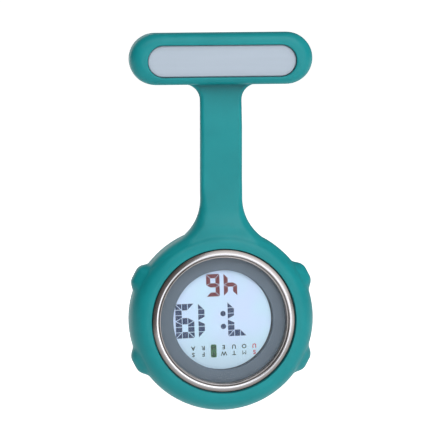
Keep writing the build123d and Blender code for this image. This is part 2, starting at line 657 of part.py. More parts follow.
def battery():
    """A 20 mm coin cell: the wide can behind and the smaller cap in front."""
    front = battery_front_y()
    back = front + BATTERY_THICKNESS
    can = disc(BATTERY_RADIUS, back, front + CAP_THICKNESS)
    can = fillet(can.faces().sort_by(Axis.Y)[-1].edges(), 0.25)
    cap = disc(CAP_RADIUS, front + CAP_THICKNESS, front)
    return can + cap


def battery_clamp():
    """The positive terminal: a sprung steel cross over the cell, with a blade at each button."""
    y = battery_front_y() + BATTERY_THICKNESS
    back = y + CONTACT_THICKNESS
    cross = Pos(0, WATCH_Z) * Circle(CLAMP_HUB_RADIUS)
    reach = BLADE_RADIUS + BLADE_THICKNESS / 2
    for angle in BUTTON_ANGLES.values():
        cross += Pos(0, WATCH_Z) * Rot(0, 0, angle) * Pos(reach / 2, 0) * Rectangle(reach, BLADE_WIDTH)
    plate = slab(cross, back, y) - disc(CLAMP_HOLE_RADIUS, back + CLEAR, y - CLEAR)
    blade_front = BOARD_FRONT_Y + 0.1
    for angle in BUTTON_ANGLES.values():
        middle = Pos(0, (back + blade_front) / 2 - BUTTON_Y, BLADE_RADIUS)
        plate += radial(angle) * middle * Box(BLADE_WIDTH, back - blade_front, BLADE_THICKNESS)
    return plate


def module_screws():
    def screw(x, z):
        head_y = board_y() + MODULE_SCREW_HEAD_THICKNESS
        shank = disc(MODULE_SCREW_RADIUS, board_y(), BOARD_FRONT_Y - 0.5, x, z)
        head = disc(MODULE_SCREW_HEAD_RADIUS, head_y, board_y(), x, z)
        slot = Box(3 * MODULE_SCREW_HEAD_RADIUS, MODULE_SCREW_HEAD_THICKNESS, CROSS_WIDTH)
        return shank + head - Pos(x, head_y, z) * slot

    return Compound([screw(x, z) for x, z in module_screw_places()])


def piezo_disc():
    ceramic_y = BACK_SEAT_Y - PIEZO_BRASS_THICKNESS
    brass = disc(PIEZO_RADIUS, BACK_SEAT_Y, ceramic_y)
    return brass + disc(PIEZO_RADIUS - 0.6, ceramic_y, BACK_SEAT_Y - PIEZO_THICKNESS)


def piezo_contact():
    """A bent leaf from the board, past the cell, to the beeper's ceramic face."""
    back_y = BACK_SEAT_Y - PIEZO_THICKNESS
    leg = Box(PIEZO_LEG_THICKNESS, back_y - board_y(), PIEZO_LEG_WIDTH)
    foot = Box(PIEZO_FOOT_LENGTH, PIEZO_FOOT_THICKNESS, PIEZO_LEG_WIDTH)
    foot_x = PIEZO_LEG_X + (PIEZO_FOOT_LENGTH - PIEZO_LEG_THICKNESS) / 2
    leg = Pos(PIEZO_LEG_X, (board_y() + back_y) / 2, WATCH_Z) * leg
    return leg + Pos(foot_x, back_y - PIEZO_FOOT_THICKNESS / 2, WATCH_Z) * foot


def back_gasket():
    return ring(GASKET_OUTER, GASKET_INNER, BACK_SEAT_Y + GASKET_THICKNESS, BACK_SEAT_Y)


def case_back():
    plate = disc(CASE_BACK_RADIUS, CASE_BACK_Y, BACK_SEAT_Y)
    plate = chamfer(plate.faces().sort_by(Axis.Y)[-1].edges(), 0.2)
    plate -= back_gasket()
    for angle in back_screw_angles():
        x, z = back_screw_place(angle)
        recess_y = CASE_BACK_Y - BACK_SCREW_HEAD_THICKNESS
        plate -= disc(BACK_SCREW_RADIUS + TURN_GAP, CASE_BACK_Y + CLEAR, BACK_SEAT_Y - CLEAR, x, z)
        plate -= disc(BACK_SCREW_HEAD_RADIUS + TURN_GAP, CASE_BACK_Y + CLEAR, recess_y, x, z)
    return plate


def case_back_screws():
    def screw(x, z):
        recess_y = CASE_BACK_Y - BACK_SCREW_HEAD_THICKNESS
        head = disc(BACK_SCREW_HEAD_RADIUS, CASE_BACK_Y - FIT_GAP, recess_y, x, z)
        shank = disc(BACK_SCREW_RADIUS, recess_y, BACK_SEAT_Y - 0.9 * BACK_SEAT_THICKNESS, x, z)
        sizes = ((CROSS_LENGTH, CROSS_WIDTH), (CROSS_WIDTH, CROSS_LENGTH))
        cross = [Pos(x, CASE_BACK_Y, z) * Box(w, BACK_SCREW_HEAD_THICKNESS, h) for w, h in sizes]
        return head + shank - cross

    return Compound([screw(*back_screw_place(angle)) for angle in back_screw_angles()])


def build_all():
    parts = {
        "silicone_head": silicone_head(),
        "silicone_pocket": silicone_pocket(),
        "label_plate": label_plate(),
        "pin_carrier": pin_carrier(),
        "brooch_bar": brooch_bar(),
        "brooch_rivets": brooch_rivets(),
        "hinge_pin": hinge_pin(),
        "brooch_needle": brooch_needle(),
        "catch_roller": catch_roller(),
        "case_body": case_body(),
        "bezel": bezel(),
        "crystal_gasket": crystal_gasket(),
        "crystal": crystal(),
        "dial_ring": dial_ring(),
        **display_stack(),
        "module_frame": module_frame(),
        "zebra_strips": Compound([zebra_strip(side) for side in (-1, 1)]),
        "circuit_board": circuit_board(),
        "chip_blob": chip_blob(),
        "quartz_crystal": quartz_crystal(),
        "backlight_led": backlight_led(),
        "battery_contact": battery_contact(),
        "battery": battery(),
        "battery_clamp": battery_clamp(),
        "module_screws": module_screws(),
        "piezo_disc": piezo_disc(),
        "piezo_contact": piezo_contact(),
        "back_gasket": back_gasket(),
        "case_back": case_back(),
        "case_back_screws": case_back_screws(),
    }
    for i in range(BEND_COUNT - 1):
        parts[f"strap_segment_{i + 1}"] = strap_segment(i)
    for place, angle in BUTTON_ANGLES.items():
        parts[f"button_{place}"] = button(angle)
        parts[f"button_pad_{place}"] = button_pad(angle)
        parts[f"button_seal_{place}"] = button_seal(angle)
        parts[f"button_clip_{place}"] = button_clip(angle)
        parts[f"button_spring_{place}"] = button_spring(angle)
    return parts


os.makedirs("parts", exist_ok=True)
for node, shape in build_all().items():
    export_step(shape, f"parts/{node}.step")
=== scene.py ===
"""Looks of the digital fob watch in its silicone holder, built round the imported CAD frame.

The silicone is one smooth skin, meshed from a distance function and cut where the strap bends and where the
button pads press. The display's segments and letters, the bezel and the springs are pieces of their own.
Names ending in _MM are millimetres; everything that is placed in the scene is in metres.
"""

import bmesh
import bpy
import json
import math
import numpy as np
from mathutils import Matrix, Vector


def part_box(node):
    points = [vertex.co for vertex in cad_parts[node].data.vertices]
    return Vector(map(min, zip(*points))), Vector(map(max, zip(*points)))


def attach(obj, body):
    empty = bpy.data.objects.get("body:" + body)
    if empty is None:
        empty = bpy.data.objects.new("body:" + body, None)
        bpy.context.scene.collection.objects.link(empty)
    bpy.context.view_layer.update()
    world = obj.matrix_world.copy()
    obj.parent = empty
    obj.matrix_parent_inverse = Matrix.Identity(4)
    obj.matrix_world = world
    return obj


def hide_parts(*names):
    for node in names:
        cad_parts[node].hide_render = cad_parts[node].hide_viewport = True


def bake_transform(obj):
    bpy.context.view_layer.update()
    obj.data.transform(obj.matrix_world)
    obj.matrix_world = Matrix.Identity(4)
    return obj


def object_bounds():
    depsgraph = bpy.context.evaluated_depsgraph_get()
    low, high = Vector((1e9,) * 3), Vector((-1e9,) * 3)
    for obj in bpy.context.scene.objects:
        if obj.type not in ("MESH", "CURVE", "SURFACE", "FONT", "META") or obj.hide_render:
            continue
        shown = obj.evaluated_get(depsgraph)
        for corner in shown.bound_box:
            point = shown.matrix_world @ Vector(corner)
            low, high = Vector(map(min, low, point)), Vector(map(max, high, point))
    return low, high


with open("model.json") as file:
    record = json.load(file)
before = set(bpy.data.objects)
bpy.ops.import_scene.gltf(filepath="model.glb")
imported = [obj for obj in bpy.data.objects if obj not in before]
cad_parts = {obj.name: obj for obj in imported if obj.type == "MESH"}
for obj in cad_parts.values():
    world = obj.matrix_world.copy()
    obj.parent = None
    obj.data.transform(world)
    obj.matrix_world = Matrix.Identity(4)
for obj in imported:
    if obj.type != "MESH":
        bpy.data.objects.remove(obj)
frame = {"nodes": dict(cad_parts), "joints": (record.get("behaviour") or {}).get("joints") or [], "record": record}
CAD_BOX = [list(corner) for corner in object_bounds()]

MM = 0.001
JOINTS = {joint["name"]: joint for joint in frame["joints"]}


def box_mm(node):
    low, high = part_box(node)
    return np.array(low) / MM, np.array(high) / MM


# Sizes read from the CAD, in millimetres.
BEZEL_LOW, BEZEL_HIGH = box_mm("bezel")
WATCH_Z_MM = (BEZEL_LOW[2] + BEZEL_HIGH[2]) / 2
BEZEL_RADIUS_MM = (BEZEL_HIGH[0] - BEZEL_LOW[0]) / 2
POCKET_LOW, POCKET_HIGH = box_mm("silicone_pocket")
POCKET_RADIUS_MM = WATCH_Z_MM - POCKET_LOW[2]
HEAD_LOW, HEAD_HIGH = box_mm("silicone_head")
LABEL_FACE_MM = box_mm("label_plate")[0][1]
HEAD_RADIUS_MM = HEAD_HIGH[2]
STRAP_LOW, STRAP_HIGH = box_mm("strap_segment_1")
CASE_LOW, CASE_HIGH = box_mm("case_body")
CASE_RADIUS_MM = CASE_HIGH[0]
RING_LOW, RING_HIGH = box_mm("dial_ring")
CRYSTAL_LOW, CRYSTAL_HIGH = box_mm("crystal")
PAD_LOW, PAD_HIGH = box_mm("button_pad_upper_right")

BENDS = [JOINTS[f"strap_bend_{i}"] for i in range(1, 5)]
PUSHES = [joint for name, joint in JOINTS.items() if name.startswith("push_")]


# ---------------------------------------------------------------- the silicone's shape, in millimetres

# WINDOW, CAVITY and PAD_HALF hold two sizes, and PAD_BLEND_INSET two insets. The other pairs in brackets
# say where a change starts and where it is complete.
HEAD_FRONT_ROUND_MM = 1.9
HEAD_BACK_ROUND_MM = 0.8
HEAD_END_ROUND_MM = 2.7
HEAD_END_X_MM = (13, 18)
HEAD_JOIN_MM = 3.6
HEAD_CREASE_MM = 0.25
NECK_RECESS_MM = 1.2
NECK_Z_MM = (-17, -6.5)
FLARE_FORWARD_MM = 2.4
FLARE_Z_MM = (-26, -41)
UPPER_STRAP_Z_MM = -12
FLARE_RADIUS_MM = 11.0
FLARE_HEIGHT_MM = (5, 16)
FLARE_BLEND_MM = {"front": 5.0, "back": 2.0}
STRAP_EDGE_MM = 0.9
FLARE_EDGE_MM = 2.2
FLARE_EDGE_REACH_MM = (30, 22)
WINDOW_MM = (33.42, 7.12)
WINDOW_DEPTH_MM = 0.6
WINDOW_ROUND_MM = 0.35
WINDOW_Z_MM = next(m["pos_m"][2] for m in frame["record"]["mounts"] if m["name"] == "label_face") / MM
CAVITY_MM = (36.2, 9.5)
CAVITY_MIDDLE_Y_MM, CAVITY_HALF_Y_MM = -5.65, 1.65
BACK_HOLE_INSET_MM, BACK_HOLE_Y_MM = 0.15, -5
LIP_RADIUS_MM = 16.34
LIP_DEPTH_MM = 0.55
BEZEL_GAP_MM, CASE_GAP_MM = 0.03, 0.05
FLANK_RADIUS_MM, FLANK_Y_MM, FLANK_POWER = 16.95, -5.6, 0.93
HEEL_RADIUS_MM, HEEL_Y_MM = 17.8, -3.9
BACK_WINDOW_MM = 13.2
BACK_ROUND_MM = 0.6
WEB_INNER_MM = 18.2
SHOULDER_TRIM_MM = 0.36
SHOULDER_RISE_MM = (8, 14)
SHOULDER_RIM_MM = (17.5, 20)
PAD_HALF_MM = (3.3, 2.85)
PAD_REACH_MM = 22.1
PAD_ROUND_MM = 2.4
PAD_CREASE_MM = 1.0
PAD_CREASE_REACH_MM = 3
PAD_CUT_MM, PAD_CUT_HALF_MM = 0.1, 5
SHARP_MM = 0.01
VOXEL_MM = 0.3


def smooth_min(a, b, k):
    h = np.clip(0.5 + 0.5 * (b - a) / k, 0, 1)
    return b * (1 - h) + a * h - k * h * (1 - h)


def smooth_max(a, b, k):
    return -smooth_min(-a, -b, k)


def smooth_step(value, start, stop):
    t = np.clip((value - start) / (stop - start), 0, 1)
    return t * t * (3 - 2 * t)


def round_min(a, b, r):
    """Union with a true arc of radius r in a square inside corner."""
    return np.maximum(r, np.minimum(a, b)) - np.hypot(np.maximum(r - a, 0), np.maximum(r - b, 0))


def round_max(a, b, r):
    """Intersection with its outside edge rounded to radius r."""
    return np.minimum(np.maximum(a, b) + r, 0) + np.hypot(np.maximum(a + r, 0), np.maximum(b + r, 0)) - r


def stadium(x, z, length, height):
    return np.hypot(np.maximum(np.abs(x) - (length - height) / 2, 0), z) - height / 2


def polygon_distance(px, py, points):
    """Signed distance to a closed polygon, negative inside."""
    best = np.full(px.shape, 1e9)
    inside = np.zeros(px.shape, bool)
    for (ax, ay), (bx, by) in zip(points, points[1:] + points[:1]):
        ex, ey = bx - ax, by - ay
        wx, wy = px - ax, py - ay
        t = np.clip((wx * ex + wy * ey) / (ex * ex + ey * ey), 0, 1)
        best = np.minimum(best, np.hypot(wx - t * ex, wy - t * ey))
        crosses = (ay > py) != (by > py)
        with np.errstate(divide="ignore", invalid="ignore"):
            left = px < ex * (py - ay) / ey + ax if ey else np.zeros(px.shape, bool)
        inside ^= crosses & left
    return np.where(inside, -best, best)


def quarter_turn(steps):
    """Angles from 0 to 90 degrees, in radians."""
    return [math.radians(90 * i / steps) for i in range(steps + 1)]


def pocket_outline():
    """The pocket's cross-section as (radius, y) points: rolled lip, domed flank, rolled back."""
    front, back = POCKET_LOW[1], POCKET_HIGH[1]
    case_front, case_back = CASE_LOW[1], CASE_HIGH[1]
    points = [(BACK_WINDOW_MM, case_back)]
    for a in quarter_turn(6):
        points.append((
            BACK_WINDOW_MM + BACK_ROUND_MM * (1 - math.cos(a)), back - BACK_ROUND_MM * (1 - math.sin(a))
        ))
    for a in quarter_turn(12)[::-1]:
        points.append((
            HEEL_RADIUS_MM + (POCKET_RADIUS_MM - HEEL_RADIUS_MM) * math.cos(a),
            HEEL_Y_MM + (back - HEEL_Y_MM) * math.sin(a),
        ))
    for a in quarter_turn(16):
        c, s = math.cos(a) ** FLANK_POWER, math.sin(a) ** FLANK_POWER
        points.append((
            FLANK_RADIUS_MM + (POCKET_RADIUS_MM - FLANK_RADIUS_MM) * c, FLANK_Y_MM + (front - FLANK_Y_MM) * s
        ))
    hug, wall, groove = BEZEL_RADIUS_MM + BEZEL_GAP_MM, CASE_RADIUS_MM + CASE_GAP_MM, front + LIP_DEPTH_MM
    points += [(LIP_RADIUS_MM, front), (LIP_RADIUS_MM, groove), (hug, groove), (hug, case_front)]
    points += [(wall, case_front), (wall, case_back)]
    return points


class PocketTable:
    """The distance to the pocket's outline, worked out once on a fine grid and read back bilinearly."""

    def __init__(self, step=0.08, reach=60.0, low_y=-16.0, high_y=4.0):
        self.step, self.low_y = step, low_y
        r, y = np.meshgrid(np.arange(0, reach, step), np.arange(low_y, high_y, step), indexing="ij")
        self.values = polygon_distance(r, y, pocket_outline())

    def __call__(self, radius, y):
        u = np.clip(radius / self.step, 0, self.values.shape[0] - 1.001)
        v = np.clip((y - self.low_y) / self.step, 0, self.values.shape[1] - 1.001)
        i, j = u.astype(int), v.astype(int)
        fu, fv = u - i, v - j
        near = self.values[i, j] * (1 - fu) + self.values[i + 1, j] * fu
        far = self.values[i, j + 1] * (1 - fu) + self.values[i + 1, j + 1] * fu
        return near * (1 - fv) + far * fv


POCKET = PocketTable()


def holder_outline(x, z):
    """The strap seen from the front, with the arcs that join it to the head and to the pocket."""
    half = STRAP_HIGH[0]
    watch_z = z - WATCH_Z_MM
    strap = np.maximum(np.abs(x) - half, np.maximum(z + 1, -watch_z))
    head = stadium(x, z, 2 * HEAD_HIGH[0], 2 * HEAD_RADIUS_MM)
    upper = round_min(strap, head, HEAD_JOIN_MM)
    shoulder_radius = POCKET_RADIUS_MM - SHOULDER_TRIM_MM
    disc = np.hypot(x, watch_z) - shoulder_radius
    centre_x = half + FLARE_RADIUS_MM
    centre_z = math.sqrt((shoulder_radius + FLARE_RADIUS_MM) ** 2 - centre_x**2)
    dx, dz = np.abs(x) - centre_x, watch_z - centre_z
    below = dz <= 0
    inward = dx * centre_z - dz * centre_x <= 0
    arc = FLARE_RADIUS_MM - np.hypot(dx, dz)
    return np.where(below & inward & (watch_z > 0), arc, np.minimum(upper, disc))


def silicone_distance(x, y, z):
    """Signed distance to the whole silicone holder at rest, negative inside the silicone."""
    watch_z = z - WATCH_Z_MM
    radius = np.hypot(x, watch_z)
    shoulder = smooth_step(watch_z, *SHOULDER_RISE_MM) * smooth_step(radius, *SHOULDER_RIM_MM)
    pocket = POCKET(radius + SHOULDER_TRIM_MM * shoulder, y)

    mid_y = (HEAD_LOW[1] + HEAD_HIGH[1]) / 2
    half_y = (HEAD_HIGH[1] - HEAD_LOW[1]) / 2
    at_end = smooth_step(np.abs(x), *HEAD_END_X_MM)
    front_edge = HEAD_FRONT_ROUND_MM + (HEAD_END_ROUND_MM - HEAD_FRONT_ROUND_MM) * at_end
    edge = np.where(y < mid_y, front_edge, HEAD_BACK_ROUND_MM)
    head_2d = stadium(x, z, 2 * HEAD_HIGH[0], 2 * HEAD_RADIUS_MM)
    head = round_max(head_2d, np.abs(y - mid_y) - half_y, edge)

    strap_front = STRAP_LOW[1] + NECK_RECESS_MM * smooth_step(z, *NECK_Z_MM)
    strap_front = strap_front - FLARE_FORWARD_MM * smooth_step(z, *FLARE_Z_MM)
    strap_y = (strap_front + STRAP_HIGH[1]) / 2
    thickness = np.abs(y - strap_y) - (STRAP_HIGH[1] - strap_front) / 2
    near_pocket = smooth_step(radius, *FLARE_EDGE_REACH_MM)
    flare = smooth_step(watch_z, *FLARE_HEIGHT_MM)
    flare = flare * smooth_step(radius, LIP_RADIUS_MM + 0.6, POCKET_RADIUS_MM + 1)
    rise = np.where(y < strap_y, FLARE_BLEND_MM["front"], FLARE_BLEND_MM["back"]) * flare
    skirt = smooth_min(thickness, pocket, np.maximum(rise, SHARP_MM))
    edge = STRAP_EDGE_MM + (FLARE_EDGE_MM - STRAP_EDGE_MM) * near_pocket
    web = round_max(holder_outline(x, z), skirt, edge)
    web = np.maximum(web, WEB_INNER_MM - radius)

    body = smooth_min(head, web, np.where(z > UPPER_STRAP_Z_MM, HEAD_CREASE_MM, SHARP_MM))
    body = np.minimum(body, pocket)
    for push in PUSHES:
        ux, uz = -push["axis"][0], -push["axis"][2]
        out = np.abs(x * ux + watch_z * uz - (WEB_INNER_MM + PAD_REACH_MM) / 2)
        across = np.abs(watch_z * ux - x * uz)
        deep = np.abs(y - (PAD_LOW[1] + PAD_HIGH[1]) / 2)
        sides = (out - (PAD_REACH_MM - WEB_INNER_MM) / 2, across - PAD_HALF_MM[0], deep - PAD_HALF_MM[1])
        q = [side + PAD_ROUND_MM for side in sides]
        corner = np.sqrt(sum(np.maximum(side, 0) ** 2 for side in q))
        pad = corner + np.minimum(np.maximum(np.maximum(q[0], q[1]), q[2]), 0) - PAD_ROUND_MM
        body = smooth_min(body, pad, np.where(out < PAD_CREASE_REACH_MM, PAD_CREASE_MM, SHARP_MM))

    window = stadium(x, z, *WINDOW_MM)
    front_hole = np.maximum(stadium(x, z - WINDOW_Z_MM, *WINDOW_MM), y - (LABEL_FACE_MM + WINDOW_DEPTH_MM))
    cavity = np.maximum(stadium(x, z, *CAVITY_MM), np.abs(y - CAVITY_MIDDLE_Y_MM) - CAVITY_HALF_Y_MM)
    back_hole = np.maximum(window - BACK_HOLE_INSET_MM, BACK_HOLE_Y_MM - y)
    hole = np.minimum(np.minimum(front_hole, cavity), back_hole)
    return smooth_max(body, -hole, WINDOW_ROUND_MM)


# ---------------------------------------------------------------- meshing the silicone

GRID_LAYERS_AT_ONCE = 24
NET_STEPS = 5
NORMAL_STEP_MM = 0.06
LIP_SNAP = 0.65


def surface_net(distance, low, high, step):
    """Vertices and quads on the zero level of a distance function, by naive surface nets."""
    counts = [int(math.ceil((b - a) / step)) + 1 for a, b in zip(low, high)]
    axes = [a + step * np.arange(n) for a, n in zip(low, counts)]
    values = np.empty(counts, np.float32)
    for k in range(0, counts[2], GRID_LAYERS_AT_ONCE):
        layers = slice(k, k + GRID_LAYERS_AT_ONCE)
        values[:, :, layers] = distance(*np.meshgrid(axes[0], axes[1], axes[2][layers], indexing="ij"))
    inside = values < 0
    corners = sum(
        inside[i : i + counts[0] - 1, j : j + counts[1] - 1, k : k + counts[2] - 1].astype(np.int8)
        for i in (0, 1) for j in (0, 1) for k in (0, 1)
    )
    active = (corners > 0) & (corners < 8)
    index = np.full(active.shape, -1, np.int64)
    index[active] = np.arange(active.sum())
    start = (np.argwhere(active) + 0.5) * step + np.array(low)
    points = start.copy()
    for _ in range(NET_STEPS):
        points -= gradient_step(distance, points)
        points = start + np.clip(points - start, -0.8 * step, 0.8 * step)

    quads = []
    for axis in range(3):
        u, v = (axis + 1) % 3, (axis + 2) % 3
        here = np.moveaxis(inside, (axis, u, v), (0, 1, 2))
        cell = np.moveaxis(index, (axis, u, v), (0, 1, 2))
        a, b = here[:-1, 1:-1, 1:-1], here[1:, 1:-1, 1:-1]
        ring = np.stack([cell[:, :-1, :-1], cell[:, 1:, :-1], cell[:, 1:, 1:], cell[:, :-1, 1:]], -1)
        quads.append(ring[a & ~b])
        quads.append(ring[b & ~a][:, ::-1])
    return points, np.concatenate(quads)


def gradient(distance, points, h=0.03):
    x, y, z = points.T
    return np.stack([
        distance(x + h, y, z) - distance(x - h, y, z),
        distance(x, y + h, z) - distance(x, y - h, z),
        distance(x, y, z + h) - distance(x, y, z - h),
    ], 1) / (2 * h)


def gradient_step(distance, points):
    g = gradient(distance, points)
    size = np.maximum((g * g).sum(1), 0.05)
    return g * (distance(*points.T) / size)[:, None]


def mesh_object(name, vertices, faces, normals=None, smooth=True):
    mesh = bpy.data.meshes.new(name)
    mesh.from_pydata([tuple(v) for v in vertices], [], [tuple(f) for f in faces])
    mesh.validate()
    obj = bpy.data.objects.new(name, mesh)
    bpy.context.scene.collection.objects.link(obj)
    mesh.polygons.foreach_set("use_smooth", [smooth] * len(mesh.polygons))
    if normals is not None:
        mesh.normals_split_custom_set_from_vertices([tuple(n) for n in normals])
    return obj


def piece_from(name, points, normals, faces):
    """A piece made of some of the skin's faces, in metres."""
    used, flat = np.unique(faces, return_inverse=True)
    return mesh_object(name, points[used] * MM, flat.reshape(faces.shape), normals[used])


def crisp_lip(points, normals):
    """Moves the points nearest to the pocket's lip onto its edge, which the mesh is too coarse to find."""
    axis = np.array([0, 0, WATCH_Z_MM])
    radius = np.hypot(points[:, 0], points[:, 2] - WATCH_Z_MM)
    near = np.hypot(radius - LIP_RADIUS_MM, points[:, 1] - POCKET_LOW[1]) < LIP_SNAP * VOXEL_MM
    points[near] = axis + (points[near] - axis) * (LIP_RADIUS_MM / radius[near])[:, None]
    points[near, 1] = POCKET_LOW[1]
    normals[near] = (0, -1, 0)


def button_place(push):
    """The name of a button's place, and the way out from the watch's middle through it."""
    return push["name"].removeprefix("push_"), Vector((-push["axis"][0], 0, -push["axis"][2]))


def build_silicone():
    """The holder's pieces, cut from one skin where the strap bends and round the pads.

    The grid starts a little off the flat faces, so that none of them lies in its planes.
    """
    low = (POCKET_LOW[0] - 3, POCKET_LOW[1] - 1.15, POCKET_LOW[2] - 1)
    high = (POCKET_HIGH[0] + 3, POCKET_HIGH[1] + 1, HEAD_HIGH[2] + 1)
    points, faces = surface_net(silicone_distance, low, high, VOXEL_MM)
    normals = gradient(silicone_distance, points, NORMAL_STEP_MM)
    normals /= np.linalg.norm(normals, axis=1, keepdims=True) + 1e-9
    crisp_lip(points, normals)
    centre = points[faces].mean(1)

    hinge_z = [bend["pos_m"][2] / MM for bend in BENDS]
    pitch = hinge_z[0] - hinge_z[1]
    cuts = [z - pitch / 2 for z in hinge_z[:-1]]
    owner = len(cuts) - np.digitize(centre[:, 2], sorted(cuts))
    pad_base = POCKET_RADIUS_MM + PAD_CUT_MM
    for i, push in enumerate(PUSHES):
        out = -centre[:, 0] * push["axis"][0] - (centre[:, 2] - WATCH_Z_MM) * push["axis"][2]
        across = centre[:, 0] * push["axis"][2] - (centre[:, 2] - WATCH_Z_MM) * push["axis"][0]
        owner[(out > pad_base) & (np.abs(across) < PAD_CUT_HALF_MM)] = len(BENDS) + i

    pieces = []
    names = ("holder_head", "holder_strap_upper", "holder_strap_lower", "holder_pocket")
    for i, (name, bend) in enumerate(zip(names, BENDS)):
        obj = piece_from(name, points, normals, faces[owner == i])
        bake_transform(obj)
        pieces.append(obj)
    for i, push in enumerate(PUSHES):
        place, outward = button_place(push)
        obj = piece_from(f"holder_pad_{place}", points, normals, faces[owner == len(BENDS) + i])
        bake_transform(obj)
        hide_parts(f"button_pad_{place}")
        pieces.append(obj)
    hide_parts("silicone_head", "strap_segment_1")
    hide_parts("strap_segment_2")
    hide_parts("strap_segment_3")
    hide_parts("silicone_pocket")
    return pieces


# ---------------------------------------------------------------- materials

# Reach of the ambient occlusion that paints shade into the silicone's colour.
PAINTED_SHADE_REACH_MM = 9
RING_PITCH_MM = 0.314
WAVE_PERIOD = 0.314
BEZEL_SPAN_MM = (14.0, 16.2)
# Painted reflections and highlight on the bezel, by radius: a dark groove, a bright crest and a darker outer
# slope.
BEZEL_PAINTED_LIGHT_TONES = (
    (14.3, (154, 151, 151)), (14.72, (112, 106, 104)), (14.88, (210, 210, 215)), (15.1, (218, 218, 223)),
    (15.32, (170, 167, 168)), (15.9, (126, 119, 115)),
)


def new_material(name):
    material = bpy.data.materials.new(name)
    material.use_nodes = True
    nodes, links = material.node_tree.nodes, material.node_tree.links
    return material, nodes, links, nodes["Principled BSDF"]


def object_space(nodes, links, scale=(1, 1, 1), location=(0, 0, 0)):
    """Object coordinates in millimetres, stretched by scale."""
    coordinates = nodes.new("ShaderNodeTexCoord")
    mapping = nodes.new("ShaderNodeMapping")
    mapping.inputs["Scale"].default_value = [s / MM for s in scale]
    mapping.inputs["Location"].default_value = location
    links.new(coordinates.outputs["Object"], mapping.inputs["Vector"])
    return mapping.outputs["Vector"]


def noise(nodes, links, vector, scale, detail=3.0, roughness=0.55):
    texture = nodes.new("ShaderNodeTexNoise")
    texture.inputs["Scale"].default_value = scale
    texture.inputs["Detail"].default_value = detail
    texture.inputs["Roughness"].default_value = roughness
    links.new(vector, texture.inputs["Vector"])
    return texture.outputs["Fac"]


def ramp(nodes, links, value, low, high, start=0.3, stop=0.7):
    """A number from low to high as value goes from start to stop."""
    node = nodes.new("ShaderNodeMapRange")
    node.inputs["From Min"].default_value = start
    node.inputs["From Max"].default_value = stop
    node.inputs["To Min"].default_value = low
    node.inputs["To Max"].default_value = high
    links.new(value, node.inputs["Value"])
    return node.outputs["Result"]


def blend_colors(nodes, links, factor, dark, light):
    """A colour from dark to light, each of which is three numbers or another node's output."""
    node = nodes.new("ShaderNodeMix")
    node.data_type = "RGBA"
    for name, color in (("A", dark), ("B", light)):
        if isinstance(color, tuple):
            node.inputs[name].default_value = (*color, 1)
        else:
            links.new(color, node.inputs[name])
    links.new(factor, node.inputs["Factor"])
    return node.outputs["Result"]


def vector_math(nodes, links, operation, vector, other=(0, 0, 0)):
    node = nodes.new("ShaderNodeVectorMath")
    node.operation = operation
    node.inputs[1].default_value = other
    links.new(vector, node.inputs[0])
    return node.outputs


def add_bump(nodes, links, shader, height, strength, distance_mm):
    bump = nodes.new("ShaderNodeBump")
    bump.inputs["Strength"].default_value = strength
    bump.inputs["Distance"].default_value = distance_mm * MM
    links.new(height, bump.inputs["Height"])
    links.new(bump.outputs["Normal"], shader.inputs["Normal"])


def srgb(*channels):
    """An sRGB colour of 0 to 255 as linear numbers."""
    return tuple((c / 255 / 12.92) if c <= 10 else ((c / 255 + 0.055) / 1.055) ** 2.4 for c in channels)


def shade(color, factor):
    return tuple(min(1, c * factor) for c in color)


def surface(name, color, roughness, metallic=0.0, variation=0.08, patch=0.15, grain=1.5, stretch=(1, 1, 1),
            bump=0.15, **sockets):
    """A moulded, plated or printed surface: patches of tone, varied gloss and a fine grain."""
    material, nodes, links, shader = new_material(name)
    vector = object_space(nodes, links, stretch)
    patches = noise(nodes, links, vector, patch)
    fine = noise(nodes, links, vector, grain, detail=4.0)
    factor = ramp(nodes, links, patches, 0, 1)
    links.new(
        blend_colors(nodes, links, factor, shade(color, 1 - variation), shade(color, 1 + variation)),
        shader.inputs["Base Color"],
    )
    gloss = ramp(nodes, links, fine, roughness * 0.85, min(1, roughness * 1.15))
    links.new(gloss, shader.inputs["Roughness"])
    shader.inputs["Metallic"].default_value = metallic
    add_bump(nodes, links, shader, fine, bump, 0.02)
    for socket, value in sockets.items():
        shader.inputs[socket.replace("_", " ")].default_value = value
    return material


def silicone_material():
    """Matt moulded silicone: faint mottling, a very fine grain, and painted shade, a deeper colour wherever
    ambient occlusion finds nearby parts, as in recesses and under the head.
    """
    material, nodes, links, shader = new_material("silicone")
    vector = object_space(nodes, links)
    patches = noise(nodes, links, vector, 0.12, detail=5.0)
    fine = noise(nodes, links, vector, 5.0, detail=5.0, roughness=0.7)
    factor = ramp(nodes, links, patches, 0, 1)
    color = blend_colors(nodes, links, factor, srgb(10, 130, 135), srgb(13, 139, 144))
    # Painted shade: ambient occlusion darkens the colour in recesses and below overhangs.
    painted_shade_ao = nodes.new("ShaderNodeAmbientOcclusion")
    painted_shade_ao.inputs["Distance"].default_value = PAINTED_SHADE_REACH_MM * MM
    painted_shade_ao.samples = 8
    unshaded = ramp(nodes, links, painted_shade_ao.outputs["AO"], 0, 1, 0.45, 0.95)
    links.new(blend_colors(nodes, links, unshaded, srgb(4, 78, 86), color), shader.inputs["Base Color"])
    links.new(ramp(nodes, links, fine, 0.36, 0.46), shader.inputs["Roughness"])
    shader.inputs["Specular IOR Level"].default_value = 0.26
    shader.inputs["Subsurface Weight"].default_value = 0.08
    shader.inputs["Subsurface Radius"].default_value = (0.4, 1.0, 1.0)
    shader.inputs["Subsurface Scale"].default_value = 1.0 * MM
    add_bump(nodes, links, shader, fine, 0.12, 0.02)
    return material


